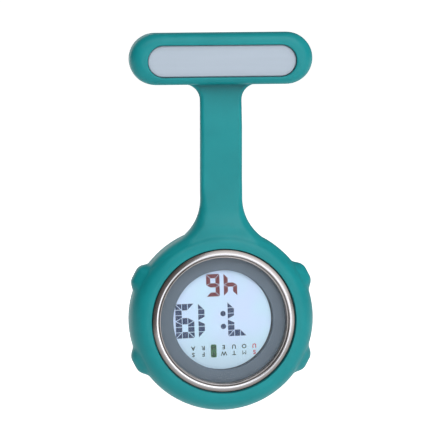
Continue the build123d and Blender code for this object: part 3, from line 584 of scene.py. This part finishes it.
def turned_metal(name, roughness, bump, color=None):
    """Steel turned on a lathe: fine rings about the watch's axis, and patches of wear."""
    material, nodes, links, shader = new_material(name)
    vector = object_space(nodes, links, location=(0, 0, -WATCH_Z_MM))
    rings = nodes.new("ShaderNodeTexWave")
    rings.wave_type = "RINGS"
    rings.rings_direction = "Y"
    rings.inputs["Scale"].default_value = WAVE_PERIOD / RING_PITCH_MM
    rings.inputs["Distortion"].default_value = 0
    rings.inputs["Detail"].default_value = 0
    links.new(vector, rings.inputs["Vector"])
    wear = noise(nodes, links, vector, 0.22, detail=2.0)
    if color:
        factor = ramp(nodes, links, wear, 0, 1, 0.15, 0.85)
        patches = blend_colors(nodes, links, factor, shade(color, 0.9), shade(color, 1.05))
        links.new(patches, shader.inputs["Base Color"])
    gloss = ramp(nodes, links, wear, roughness * 0.8, roughness * 1.3, 0.15, 0.85)
    links.new(gloss, shader.inputs["Roughness"])
    shader.inputs["Metallic"].default_value = 1.0
    add_bump(nodes, links, shader, rings.outputs["Fac"], bump, 0.004)
    return material


def bezel_material():
    """Polished chrome with painted reflections by radius: painted shade in its inner groove, a painted highlight
    along its crest and a darker painted reflection on its outer slope.
    """
    material = turned_metal("bezel_chrome", 0.17, 0.02)
    nodes, links = material.node_tree.nodes, material.node_tree.links
    vector = object_space(nodes, links, location=(0, 0, -WATCH_Z_MM))
    flat = vector_math(nodes, links, "MULTIPLY", vector, (1, 0, 1))["Vector"]
    radius = vector_math(nodes, links, "LENGTH", flat)["Value"]
    inner, outer = BEZEL_SPAN_MM
    tone = nodes.new("ShaderNodeValToRGB")
    links.new(ramp(nodes, links, radius, 0, 1, inner, outer), tone.inputs["Fac"])
    stops = tone.color_ramp.elements
    for i, (radius_mm, color) in enumerate(BEZEL_PAINTED_LIGHT_TONES):
        place = (radius_mm - inner) / (outer - inner)
        stop = stops[i] if i < len(stops) else stops.new(place)
        stop.position = place
        stop.color = (*srgb(*color), 1)
    links.new(tone.outputs["Color"], nodes["Principled BSDF"].inputs["Base Color"])
    return material


def striped(name, color, line_color, pitch_mm):
    """One colour crossed by fine lines of another, which follow each other along X."""
    material, nodes, links, shader = new_material(name)
    vector = object_space(nodes, links)
    lines = nodes.new("ShaderNodeTexWave")
    lines.wave_type = "BANDS"
    lines.bands_direction = "X"
    lines.inputs["Scale"].default_value = WAVE_PERIOD / pitch_mm
    lines.inputs["Distortion"].default_value = 0.3
    links.new(vector, lines.inputs["Vector"])
    factor = ramp(nodes, links, lines.outputs["Fac"], 0, 0.55, 0.55, 1.0)
    links.new(blend_colors(nodes, links, factor, color, line_color), shader.inputs["Base Color"])
    shader.inputs["Roughness"].default_value = 0.4
    return material


def polarizer_material():
    """The display's pale ground: cool white with soft cyan clouds, a little dimmer low down."""
    material, nodes, links, shader = new_material("polarizer_film")
    vector = object_space(nodes, links)
    clouds = noise(nodes, links, vector, 0.13, detail=1.0)
    factor = ramp(nodes, links, clouds, 0, 1, 0.35, 0.65)
    color = blend_colors(nodes, links, factor, srgb(199, 219, 250), srgb(193, 227, 246))
    height = nodes.new("ShaderNodeSeparateXYZ")
    links.new(vector, height.inputs["Vector"])
    upper = ramp(nodes, links, height.outputs["Z"], 0, 1, WATCH_Z_MM - 10, WATCH_Z_MM - 2)
    links.new(blend_colors(nodes, links, upper, srgb(181, 208, 226), color), shader.inputs["Base Color"])
    fine = noise(nodes, links, vector, 6.0)
    links.new(ramp(nodes, links, fine, 0.3, 0.36), shader.inputs["Roughness"])
    return material


def crystal_material():
    """Clear mineral glass: it shows only as a faint gloss, stronger at a grazing angle."""
    material, nodes, links, shader = new_material("crystal_glass")
    facing = nodes.new("ShaderNodeLayerWeight")
    facing.inputs["Blend"].default_value = 0.25
    links.new(ramp(nodes, links, facing.outputs["Facing"], 0.03, 0.5, 0.2, 1.0), shader.inputs["Alpha"])
    vector = object_space(nodes, links)
    smear = noise(nodes, links, vector, 0.4)
    links.new(ramp(nodes, links, smear, 0.02, 0.05), shader.inputs["Roughness"])
    shader.inputs["Base Color"].default_value = (0.5, 0.56, 0.6, 1)
    shader.inputs["Specular IOR Level"].default_value = 0.8
    return material


def board_material():
    """Green solder mask over copper tracks."""
    material, nodes, links, shader = new_material("board")
    vector = object_space(nodes, links)
    tracks = nodes.new("ShaderNodeTexBrick")
    tracks.inputs["Scale"].default_value = 0.6
    tracks.inputs["Mortar Size"].default_value = 0.03
    tracks.inputs["Color1"].default_value = (*srgb(12, 88, 44), 1)
    tracks.inputs["Color2"].default_value = (*srgb(16, 98, 50), 1)
    tracks.inputs["Mortar"].default_value = (*srgb(40, 130, 70), 1)
    turn = nodes.new("ShaderNodeMapping")
    turn.inputs["Rotation"].default_value = (math.radians(90), 0, 0)
    links.new(vector, turn.inputs["Vector"])
    links.new(turn.outputs["Vector"], tracks.inputs["Vector"])
    links.new(tracks.outputs["Color"], shader.inputs["Base Color"])
    fine = noise(nodes, links, vector, 3.0)
    links.new(ramp(nodes, links, fine, 0.25, 0.35), shader.inputs["Roughness"])
    add_bump(nodes, links, shader, tracks.outputs["Fac"], 0.3, 0.03)
    return material


def build_materials():
    """One finish for each of the record's material slots."""
    return {
        "silicone": silicone_material(),
        "label_metal": surface("label_metal", srgb(165, 178, 192), 0.42, variation=0.02, patch=0.4, grain=4.0,
                               stretch=(0.15, 1, 2.5), bump=0.06, Specular_IOR_Level=0.6),
        "black_plastic": surface("black_plastic", srgb(42, 43, 46), 0.5, variation=0.15, grain=4.0,
                                 bump=0.25),
        "brooch_steel": surface("brooch_steel", srgb(208, 206, 204), 0.24, 1.0, 0.04, grain=1.2,
                                stretch=(0.3, 1, 1.5), bump=0.02),
        "case_steel": turned_metal("case_steel", 0.3, 0.03, srgb(196, 195, 194)),
        "bezel_chrome": bezel_material(),
        "crystal_glass": crystal_material(),
        "seal_rubber": surface("seal_rubber", srgb(28, 28, 29), 0.6, variation=0.2, grain=6.0),
        "dial_grey": surface("dial_grey", srgb(86, 102, 117), 0.55, variation=0.03, grain=6.0, bump=0.08),
        "polarizer_film": polarizer_material(),
        "cell_glass": surface("cell_glass", srgb(205, 218, 226), 0.08, variation=0.03, bump=0.02,
                              Transmission_Weight=0.6),
        "reflector_foil": surface("reflector_foil", srgb(205, 208, 212), 0.4, 1.0, 0.04, grain=5.0),
        "guide_acrylic": surface("guide_acrylic", srgb(222, 232, 226), 0.3, variation=0.03, grain=3.0,
                                 Transmission_Weight=0.4),
        "module_plastic": surface("module_plastic", srgb(214, 212, 204), 0.5, variation=0.05, grain=4.0),
        "zebra_rubber": striped("zebra_rubber", srgb(200, 120, 130), srgb(40, 30, 32), 0.2),
        "board": board_material(),
        "chip_resin": surface("chip_resin", srgb(22, 22, 24), 0.25, variation=0.2, grain=1.0),
        "can_metal": surface("can_metal", srgb(198, 198, 200), 0.28, 1.0, 0.05, grain=3.0),
        "led_resin": surface("led_resin", srgb(236, 226, 170), 0.2, variation=0.05, Transmission_Weight=0.5),
        "spring_steel": surface("spring_steel", srgb(190, 189, 186), 0.24, 1.0, 0.06, grain=4.0),
        "cell_can": surface("cell_can", srgb(205, 204, 200), 0.25, 1.0, 0.05, grain=3.0, stretch=(1, 1, 0.3)),
        "screw_steel": surface("screw_steel", srgb(150, 149, 147), 0.3, 1.0, 0.08, grain=4.0),
        "piezo_brass": surface("piezo_brass", srgb(214, 178, 102), 0.32, 1.0, 0.08, grain=2.0),
    }


def dress(obj, material):
    obj.data.materials.clear()
    obj.data.materials.append(material)


# ---------------------------------------------------------------- bezel

BEZEL_STEPS = 360
BEZEL_ROUND_MM = 0.06
CHAMFER_MM = 0.12
DIAL_WINDOW_MM = 11.25
GLASS_STEPS = 192
GLASS_GAP_MM = 0.03
CRISP_DEGREES = 30


def lathe(name, profile, steps, crisp_degrees=None):
    """A closed ring or disc about the watch's axis, from (radius, y) points whose faces point outward."""
    count = len(profile)
    angles = [2 * math.pi * i / steps for i in range(steps)]
    vertices = [
        (r * math.cos(a) * MM, y * MM, (WATCH_Z_MM + r * math.sin(a)) * MM)
        for a in angles for r, y in profile
    ]
    faces = []
    on_axis = [r == 0 for r, y in profile]
    for i in range(steps):
        a, b = i * count, (i + 1) % steps * count
        for j in range(count):
            k = (j + 1) % count
            if not (on_axis[j] and on_axis[k]):
                faces.append((a + j, a + k, b + k, b + j))
    obj = mesh_object(name, vertices, faces)
    if any(on_axis):
        weld(obj)
    if crisp_degrees:
        obj.data.set_sharp_from_angle(angle=math.radians(crisp_degrees))
    return obj


def weld(obj):
    """Joins the vertices that lie on the same place."""
    shape = bmesh.new()
    shape.from_mesh(obj.data)
    bmesh.ops.remove_doubles(shape, verts=shape.verts, dist=1e-7)
    shape.to_mesh(obj.data)
    shape.free()


def rounded(points, radius, steps=4):
    """The closed outline with every corner cut to a short arc."""
    out = []
    for before, here, after in zip(points[-1:] + points[:-1], points, points[1:] + points[:1]):
        p, q, s = np.array(before), np.array(here), np.array(after)
        into, away = p - q, s - q
        reach = min(radius, 0.4 * np.linalg.norm(into), 0.4 * np.linalg.norm(away))
        a = q + into / np.linalg.norm(into) * reach
        b = q + away / np.linalg.norm(away) * reach
        for i in range(steps + 1):
            t = i / steps
            out.append(tuple((1 - t) ** 2 * a + 2 * t * (1 - t) * q + t * t * b))
    return out


def build_bezel():
    """The polished ring: an outer slope, a crest that its material paints bright, a groove and a thin inner lip.
    """
    seat, crest = BEZEL_HIGH[1], BEZEL_LOW[1]
    glass = CRYSTAL_LOW[1]
    profile = [
        (BEZEL_RADIUS_MM, seat),
        (BEZEL_RADIUS_MM, crest + 0.36),
        (BEZEL_RADIUS_MM - 0.1, crest + 0.26),
        (15.4, crest + 0.08),
        (15.1, crest),
        (14.78, crest + 0.05),
        (14.68, crest + 0.3),
        (14.58, crest + 0.3),
        (14.5, crest + 0.12),
        (14.3, crest + 0.12),
        (14.2, crest + 0.25),
        (14.2, glass - 0.02),
        (14.45, glass - 0.02),
        (14.45, glass + 0.15),
        (14.76, glass + 0.15),
        (14.76, seat),
    ]
    bezel = lathe("bezel_ring", rounded(profile[::-1], BEZEL_ROUND_MM), BEZEL_STEPS)
    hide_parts("bezel")
    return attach(bezel, "watch")


def build_dial():
    """The printed ring under the glass, with a small chamfer round its window."""
    radius, front, back = RING_HIGH[0], RING_LOW[1], RING_HIGH[1]
    profile = [
        (radius, back), (radius, front), (DIAL_WINDOW_MM + CHAMFER_MM, front),
        (DIAL_WINDOW_MM, front + CHAMFER_MM), (DIAL_WINDOW_MM, back),
    ]
    dial = lathe("dial_face", profile, GLASS_STEPS, CRISP_DEGREES)
    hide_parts("dial_ring")
    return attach(dial, "watch")


def build_crystal():
    """The glass: a flat disc with a ground edge."""
    radius, front, back = CRYSTAL_HIGH[0], CRYSTAL_LOW[1], CRYSTAL_HIGH[1] - GLASS_GAP_MM
    profile = [
        (0, back), (radius - CHAMFER_MM, back), (radius, back - CHAMFER_MM),
        (radius, front + CHAMFER_MM), (radius - CHAMFER_MM, front), (0, front),
    ]
    glass = lathe("crystal_glass", profile, GLASS_STEPS, CRISP_DEGREES)
    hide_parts("crystal")
    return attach(glass, "watch")


# ---------------------------------------------------------------- the display's segments and letters

DISPLAY_TILT = math.radians(1.8)
DISPLAY_LIFT_MM = 0.03
PLATE_MM = 0.02
DISPLAY_FACE_MM = box_mm("front_polarizer")[0][1]


def on_display(u, v, lift):
    """A point of the display, in millimetres as its wearer reads it, as a place in the frame."""
    turn = math.pi + DISPLAY_TILT
    x = u * math.cos(turn) - v * math.sin(turn)
    z = u * math.sin(turn) + v * math.cos(turn)
    return (x * MM, (DISPLAY_FACE_MM - lift) * MM, (WATCH_Z_MM + z) * MM)


def seven_segments(w, h, t, gap):
    """The seven outlines of a digit cell whose lower left corner is at the origin."""
    m, s = h / 2, t / 2
    return {
        "a": [(gap, h), (t + gap, h - t), (w - t - gap, h - t), (w - gap, h)],
        "b": [(w, h - gap), (w - t, h - t - gap), (w - t, m + s + gap), (w, m + gap)],
        "c": [(w, m - gap), (w - t, m - s - gap), (w - t, t + gap), (w, gap)],
        "d": [(gap, 0), (w - gap, 0), (w - t - gap, t), (t + gap, t)],
        "e": [(0, gap), (t, t + gap), (t, m - s - gap), (0, m - gap)],
        "f": [(0, m + gap), (t, m + s + gap), (t, h - t - gap), (0, h - gap)],
        "g": [(2 * gap, m), (t, m - s), (w - t, m - s), (w - 2 * gap, m), (w - t, m + s), (t, m + s)],
    }


LIT = {"1": "bc", "4": "bcfg", "6": "acdefg", "7": "abc", "9": "abcdfg"}


def clip(polygon, axis, limit, keep_above):
    """The part of a convex outline on one side of a line across the given axis."""
    sign = 1 if keep_above else -1
    out = []
    for p, q in zip(polygon, polygon[1:] + polygon[:1]):
        dp, dq = sign * (p[axis] - limit), sign * (q[axis] - limit)
        if dp >= 0:
            out.append(p)
        if dp * dq < 0:
            t = dp / (dp - dq)
            out.append((p[0] + t * (q[0] - p[0]), p[1] + t * (q[1] - p[1])))
    return out


def sliced(polygon, parts, gap):
    """The outline cut across its length into parts with gaps between them."""
    spans = [max(p[i] for p in polygon) - min(p[i] for p in polygon) for i in (0, 1)]
    axis = 0 if spans[0] > spans[1] else 1
    low = min(p[axis] for p in polygon)
    cells = []
    for i in range(parts):
        cell = polygon
        if i:
            cell = clip(cell, axis, low + spans[axis] * i / parts + gap / 2, True)
        if i < parts - 1:
            cell = clip(cell, axis, low + spans[axis] * (i + 1) / parts - gap / 2, False)
        if len(cell) > 2:
            cells.append(cell)
    return cells


def digit_cells(text, u, v, width, height, thickness, gap, parts=1, slice_gap=0.0):
    cells = []
    outlines = seven_segments(width, height, thickness, gap)
    for segment in LIT[text]:
        for cell in sliced(outlines[segment], parts, slice_gap):
            cells.append([(p[0] + u, p[1] + v) for p in cell])
    return cells


def round_spot(u, v, radius, steps=32):
    turns = [2 * math.pi * i / steps for i in range(steps)]
    return [(u + radius * math.cos(a), v + radius * math.sin(a)) for a in turns]


def rounded_bar(u, v, width, height, radius):
    points = []
    for cu, cv, first in ((1, 1, 0), (-1, 1, 90), (-1, -1, 180), (1, -1, 270)):
        for i in range(7):
            a = math.radians(first + 15 * i)
            points.append((
                u + cu * (width / 2 - radius) + radius * math.cos(a),
                v + cv * (height / 2 - radius) + radius * math.sin(a),
            ))
    return points


def thin_plates(name, outlines):
    """Each outline as a thin closed plate on the display."""
    vertices, faces = [], []
    for outline in outlines:
        area = sum(p[0] * q[1] - q[0] * p[1] for p, q in zip(outline, outline[1:] + outline[:1]))
        outline = outline if area > 0 else outline[::-1]
        n, base = len(outline), len(vertices)
        vertices += [on_display(*p, lift) for lift in (0, PLATE_MM) for p in outline]
        faces.append([base + n + i for i in range(n)])
        faces.append([base + n - 1 - i for i in range(n)])
        faces += [(base + i, base + (i + 1) % n, base + n + (i + 1) % n, base + n + i) for i in range(n)]
    return mesh_object(name, vertices, faces, smooth=False)


def letters(name, rows, lift):
    """Printed letters, each centred on its place, as closed meshes. The M stays thin, to keep its notch."""
    vertices, faces = [], []
    for letter, u, v in rows:
        curve = bpy.data.curves.new("letter", "FONT")
        curve.body = letter
        curve.size = LETTER_SIZE_MM
        curve.align_x, curve.align_y = "CENTER", "CENTER"
        curve.extrude = PLATE_MM / 2
        curve.offset = 0 if letter == "M" else LETTER_THICKENING_MM
        holder = bpy.data.objects.new("letter", curve)
        mesh = bpy.data.meshes.new_from_object(holder)
        base = len(vertices)
        middle_lift = lift + PLATE_MM / 2
        vertices += [on_display(u + c.co.x, v + c.co.y, middle_lift + c.co.z) for c in mesh.vertices]
        faces += [[base + i for i in face.vertices] for face in mesh.polygons]
        bpy.data.objects.remove(holder)
        bpy.data.curves.remove(curve)
        bpy.data.meshes.remove(mesh)
    return mesh_object(name, vertices, faces, smooth=False)


# Painted shadow: a dark crescent on the display where the dial ring's inner wall shades it.
SHADOW_CRESCENT_RADIUS_MM = DIAL_WINDOW_MM - 0.01
SHADOW_CRESCENT_SHIFT_MM = (0.34, -0.12)
SHADOW_CRESCENT_SWEEP = 0.96


def painted_shadow_crescent(steps=48):
    """A painted shadow: the dark crescent at the display's edge where the dial ring's wall shades it, what a
    circle leaves bare when its like is moved across it.
    """
    shift_u, shift_v = SHADOW_CRESCENT_SHIFT_MM
    bare_side = math.atan2(-shift_v, -shift_u)
    outer, inner = [], []
    for i in range(steps + 1):
        a = bare_side + math.pi * (i / steps - 0.5) * SHADOW_CRESCENT_SWEEP
        c, s = math.cos(a), math.sin(a)
        along, across = shift_u * c + shift_v * s, shift_u * s - shift_v * c
        reach = along + math.sqrt(SHADOW_CRESCENT_RADIUS_MM**2 - across**2)
        outer.append((SHADOW_CRESCENT_RADIUS_MM * c, SHADOW_CRESCENT_RADIUS_MM * s))
        inner.append((reach * c, reach * s))
    return outer + inner[::-1]


TIME_DIGITS = {"width": 4.2, "height": 7.75, "thickness": 1.42, "gap": 0.1, "parts": 3, "slice_gap": 0.13}
TIME_MM, TIME_LOW_MM = (("7", -5.35), ("1", 1.3), ("9", 6.43)), -3.97
COLON_U_MM, COLON_V_MM, COLON_RADIUS_MM = -0.1, (-1.39, 1.51), 0.6
SECOND_DIGITS = {"width": 3.0, "height": 5.05, "thickness": 0.92, "gap": 0.07}
SECONDS_MM, SECONDS_LOW_MM = (("4", -3.45), ("6", 0.48)), -10.4
WEEK = ("SU", "MO", "TU", "WE", "TH", "FR", "SA")
WEEK_PITCH_MM = 2.3
WEEK_SHIFT_MM = -0.03
WEEK_ROWS_MM = (7.57, 6.14)
TODAY = 4
LETTER_SIZE_MM, LETTER_THICKENING_MM = 1.3, 0.036
MARKER_V_MM, MARKER_SIZE_MM, MARKER_ROUND_MM = 6.95, (1.3, 2.95), 0.35


def day_place(day):
    """How far along the week's row a day stands; 0 is Sunday."""
    return (day - 3) * WEEK_PITCH_MM + WEEK_SHIFT_MM


def week_letters(days):
    return [(letter, day_place(day), v) for day in days for letter, v in zip(WEEK[day], WEEK_ROWS_MM)]


def build_display():
    """The lit segments, the weekday letters and the marker under today's."""
    cells, seconds = [], []
    for text, u in TIME_MM:
        cells += digit_cells(text, u, TIME_LOW_MM, **TIME_DIGITS)
    cells += [round_spot(COLON_U_MM, v, COLON_RADIUS_MM) for v in COLON_V_MM]
    for text, u in SECONDS_MM:
        seconds += digit_cells(text, u, SECONDS_LOW_MM, **SECOND_DIGITS)
    marker = rounded_bar(day_place(TODAY), MARKER_V_MM, *MARKER_SIZE_MM, MARKER_ROUND_MM)
    others = [day for day in range(1, 7) if day != TODAY]
    # Painted shadow along the display's right and lower edge.
    shadow = surface("painted_edge_shadow", srgb(52, 60, 68), 0.6, variation=0.1, grain=4.0)
    navy = striped("segment_navy", srgb(20, 42, 82), srgb(70, 100, 144), 0.33)
    red = striped("segment_red", srgb(98, 16, 32), srgb(120, 38, 52), 0.3)
    ink = surface("letter_ink", srgb(24, 42, 36), 0.6, variation=0.1)
    warm_ink = surface("letter_ink_red", srgb(184, 48, 64), 0.6, variation=0.08)
    green = surface("marker_green", srgb(44, 98, 60), 0.5, variation=0.06)
    pieces = [
        (thin_plates("display_painted_edge_shadow", [painted_shadow_crescent()]), shadow),
        (thin_plates("display_time", cells), navy),
        (thin_plates("display_seconds", seconds), red),
        (letters("weekday_letters", week_letters(others), 0), ink),
        (letters("weekday_letters_sunday", week_letters([0]), 0), warm_ink),
        (thin_plates("weekday_marker", [marker]), green),
        (letters("weekday_letters_today", week_letters([TODAY]), DISPLAY_LIFT_MM), ink),
    ]
    for obj, material in pieces:
        dress(obj, material)
        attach(obj, "watch")


# ---------------------------------------------------------------- button springs

SPRING_SPAN_MM = (15.84, 17.64)
SPRING_RADIUS_MM = 1.05
SPRING_TURNS = 4
WIRE_RADIUS_MM = 0.13
WIRE_SIDES, WIRE_STEPS = 10, 96


def build_springs():
    """Coil springs under the buttons, built at their rest length."""
    start, end = SPRING_SPAN_MM
    around, along = WIRE_SIDES, WIRE_STEPS
    for push in PUSHES:
        place, outward = button_place(push)
        side, other = Vector((0, 1, 0)), outward.cross(Vector((0, 1, 0)))
        low, high = box_mm(f"button_{place}")
        centre = Vector((0, (low[1] + high[1]) / 2, WATCH_Z_MM))
        vertices, faces = [], []
        for i in range(along + 1):
            a = 2 * math.pi * SPRING_TURNS * i / along
            toward = side * math.cos(a) + other * math.sin(a)
            point = centre + outward * (start + (end - start) * i / along) + toward * SPRING_RADIUS_MM
            for j in range(around):
                b = 2 * math.pi * j / around
                across = (toward * math.cos(b) + outward * math.sin(b)) * WIRE_RADIUS_MM
                vertices.append((point + across) * MM)
        for i in range(along):
            for j in range(around):
                here, beside = i * around + j, i * around + (j + 1) % around
                faces.append((here, beside, beside + around, here + around))
        faces += [list(range(around))[::-1], [along * around + j for j in range(around)]]
        spring = mesh_object(f"coil_{place}", vertices, faces)
        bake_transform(spring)
        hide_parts(f"button_spring_{place}")
        yield spring


# ---------------------------------------------------------------- studio

# Places from the middle of the watch, and sizes, in metres; powers in watts.
LIGHTS = (
    ("key", (0.3, -0.5, 0.7), 0.6, 2.95),
    ("fill", (-0.3, -0.6, 0.62), 0.4, 1.5),
    ("back", (-0.35, 0.9, 0.35), 0.9, 2.4),
    ("panel", (0.42, -1.08, 0.34), 1.1, 4.8),
)
CARD_PLACE = Vector((-0.27, -0.36, 0.02))
CARD_SCALE = (0.46, 0.46, 1)
FLOOR_SIZE, FLOOR_DROP = 8, 0.08
FLOOR_GLOW_MM = (300, 600)
BRIGHT_SIDE = Vector((0.7, -0.6, 0.4)).normalized()


def add_area_light(name, place, size, power, target):
    data = bpy.data.lights.new(name, "AREA")
    data.shape = "DISK"
    data.size = size
    data.energy = power
    light = bpy.data.objects.new(name, data)
    light.location = target + Vector(place)
    light.visible_camera = False
    light.rotation_euler = (target - light.location).to_track_quat("-Z", "Y").to_euler()
    bpy.context.scene.collection.objects.link(light)


def build_floor():
    """Pale paper that gives off light itself, less of it near the watch."""
    bpy.ops.mesh.primitive_plane_add(size=FLOOR_SIZE, location=(0, 0, CAD_BOX[0][2] - FLOOR_DROP))
    floor = bpy.context.object
    floor.name = "floor"
    paper = surface("floor_paper", (0.88, 0.88, 0.88), 0.8, variation=0.01)
    nodes, links = paper.node_tree.nodes, paper.node_tree.links
    away = vector_math(nodes, links, "LENGTH", object_space(nodes, links))["Value"]
    glow = ramp(nodes, links, away, 0.35, 0.9, *FLOOR_GLOW_MM)
    shader = nodes["Principled BSDF"]
    shader.inputs["Emission Color"].default_value = (1, 1, 1, 1)
    links.new(glow, shader.inputs["Emission Strength"])
    dress(floor, paper)


def build_room():
    """A room that is white to the camera, and to all else brighter on one side than on the other."""
    world = bpy.data.worlds.new("studio")
    world.use_nodes = True
    bpy.context.scene.world = world
    nodes, links = world.node_tree.nodes, world.node_tree.links
    room = nodes["Background"]
    coordinates = nodes.new("ShaderNodeTexCoord")
    toward = vector_math(nodes, links, "DOT_PRODUCT", coordinates.outputs["Generated"], BRIGHT_SIDE)
    level = ramp(nodes, links, toward["Value"], 0, 1, -0.6, 0.9)
    links.new(blend_colors(nodes, links, level, (0.16, 0.15, 0.145), (1, 1, 1)), room.inputs["Color"])
    room.inputs["Strength"].default_value = 0.3
    backdrop = nodes.new("ShaderNodeBackground")
    backdrop.inputs["Color"].default_value = (1, 1, 1, 1)
    seen = nodes.new("ShaderNodeLightPath")
    mix = nodes.new("ShaderNodeMixShader")
    links.new(seen.outputs["Is Camera Ray"], mix.inputs["Fac"])
    links.new(room.outputs["Background"], mix.inputs[1])
    links.new(backdrop.outputs["Background"], mix.inputs[2])
    links.new(mix.outputs["Shader"], nodes["World Output"].inputs["Surface"])


def build_card(centre):
    """A grey card to the left, which the camera doesn't see but the metal and the glass reflect."""
    bpy.ops.mesh.primitive_plane_add(size=1, location=centre + CARD_PLACE)
    card = bpy.context.object
    card.name = "dark_card"
    card.rotation_euler = (-CARD_PLACE).to_track_quat("Z", "Y").to_euler()
    card.scale = CARD_SCALE
    card.visible_camera = False
    dress(card, surface("card_grey", (0.3, 0.275, 0.265), 0.9, variation=0.05))


def build_studio(centre):
    """The floor, the room, the card and four lights that the camera doesn't see."""
    build_floor()
    build_room()
    build_card(centre)
    for light in LIGHTS:
        add_area_light(*light, centre)
    bpy.context.scene.view_settings.view_transform = "Standard"


CAMERA_AZIMUTH = math.radians(-7.3)
CAMERA_ELEVATION = math.radians(6.5)
CAMERA_DISTANCE = 1.0
FRAME_WIDTH = 0.0964
AIM_RIGHT, AIM_UP = -0.00127, 0.00148


def build_camera(centre):
    """A long lens, a little to the left of the watch and above it."""
    flat = math.cos(CAMERA_ELEVATION) * CAMERA_DISTANCE
    height = math.sin(CAMERA_ELEVATION) * CAMERA_DISTANCE
    away = Vector((math.sin(CAMERA_AZIMUTH) * flat, -math.cos(CAMERA_AZIMUTH) * flat, height))
    rotation = (-away).to_track_quat("-Z", "Y")
    data = bpy.data.cameras.new("camera")
    data.sensor_width = 36
    data.lens = data.sensor_width * CAMERA_DISTANCE / FRAME_WIDTH
    data.clip_start, data.clip_end = 0.01, 20
    camera = bpy.data.objects.new("camera", data)
    aim = centre + rotation @ Vector((AIM_RIGHT, AIM_UP, 0))
    camera.location = aim + away
    camera.rotation_euler = rotation.to_euler()
    bpy.context.scene.collection.objects.link(camera)
    bpy.context.scene.camera = camera


# ---------------------------------------------------------------- the whole scene

finishes = build_materials()
for piece in build_silicone():
    dress(piece, finishes["silicone"])
dress(build_bezel(), finishes["bezel_chrome"])
dress(build_dial(), finishes["dial_grey"])
dress(build_crystal(), finishes["crystal_glass"])
for coil in build_springs():
    dress(coil, finishes["spring_steel"])
build_display()
for subpart in frame["record"]["subparts"]:
    dress(frame["nodes"][subpart["node"]], finishes[subpart["material_slot"]])

middle = (Vector(CAD_BOX[0]) + Vector(CAD_BOX[1])) / 2
build_studio(middle)
build_camera(middle)
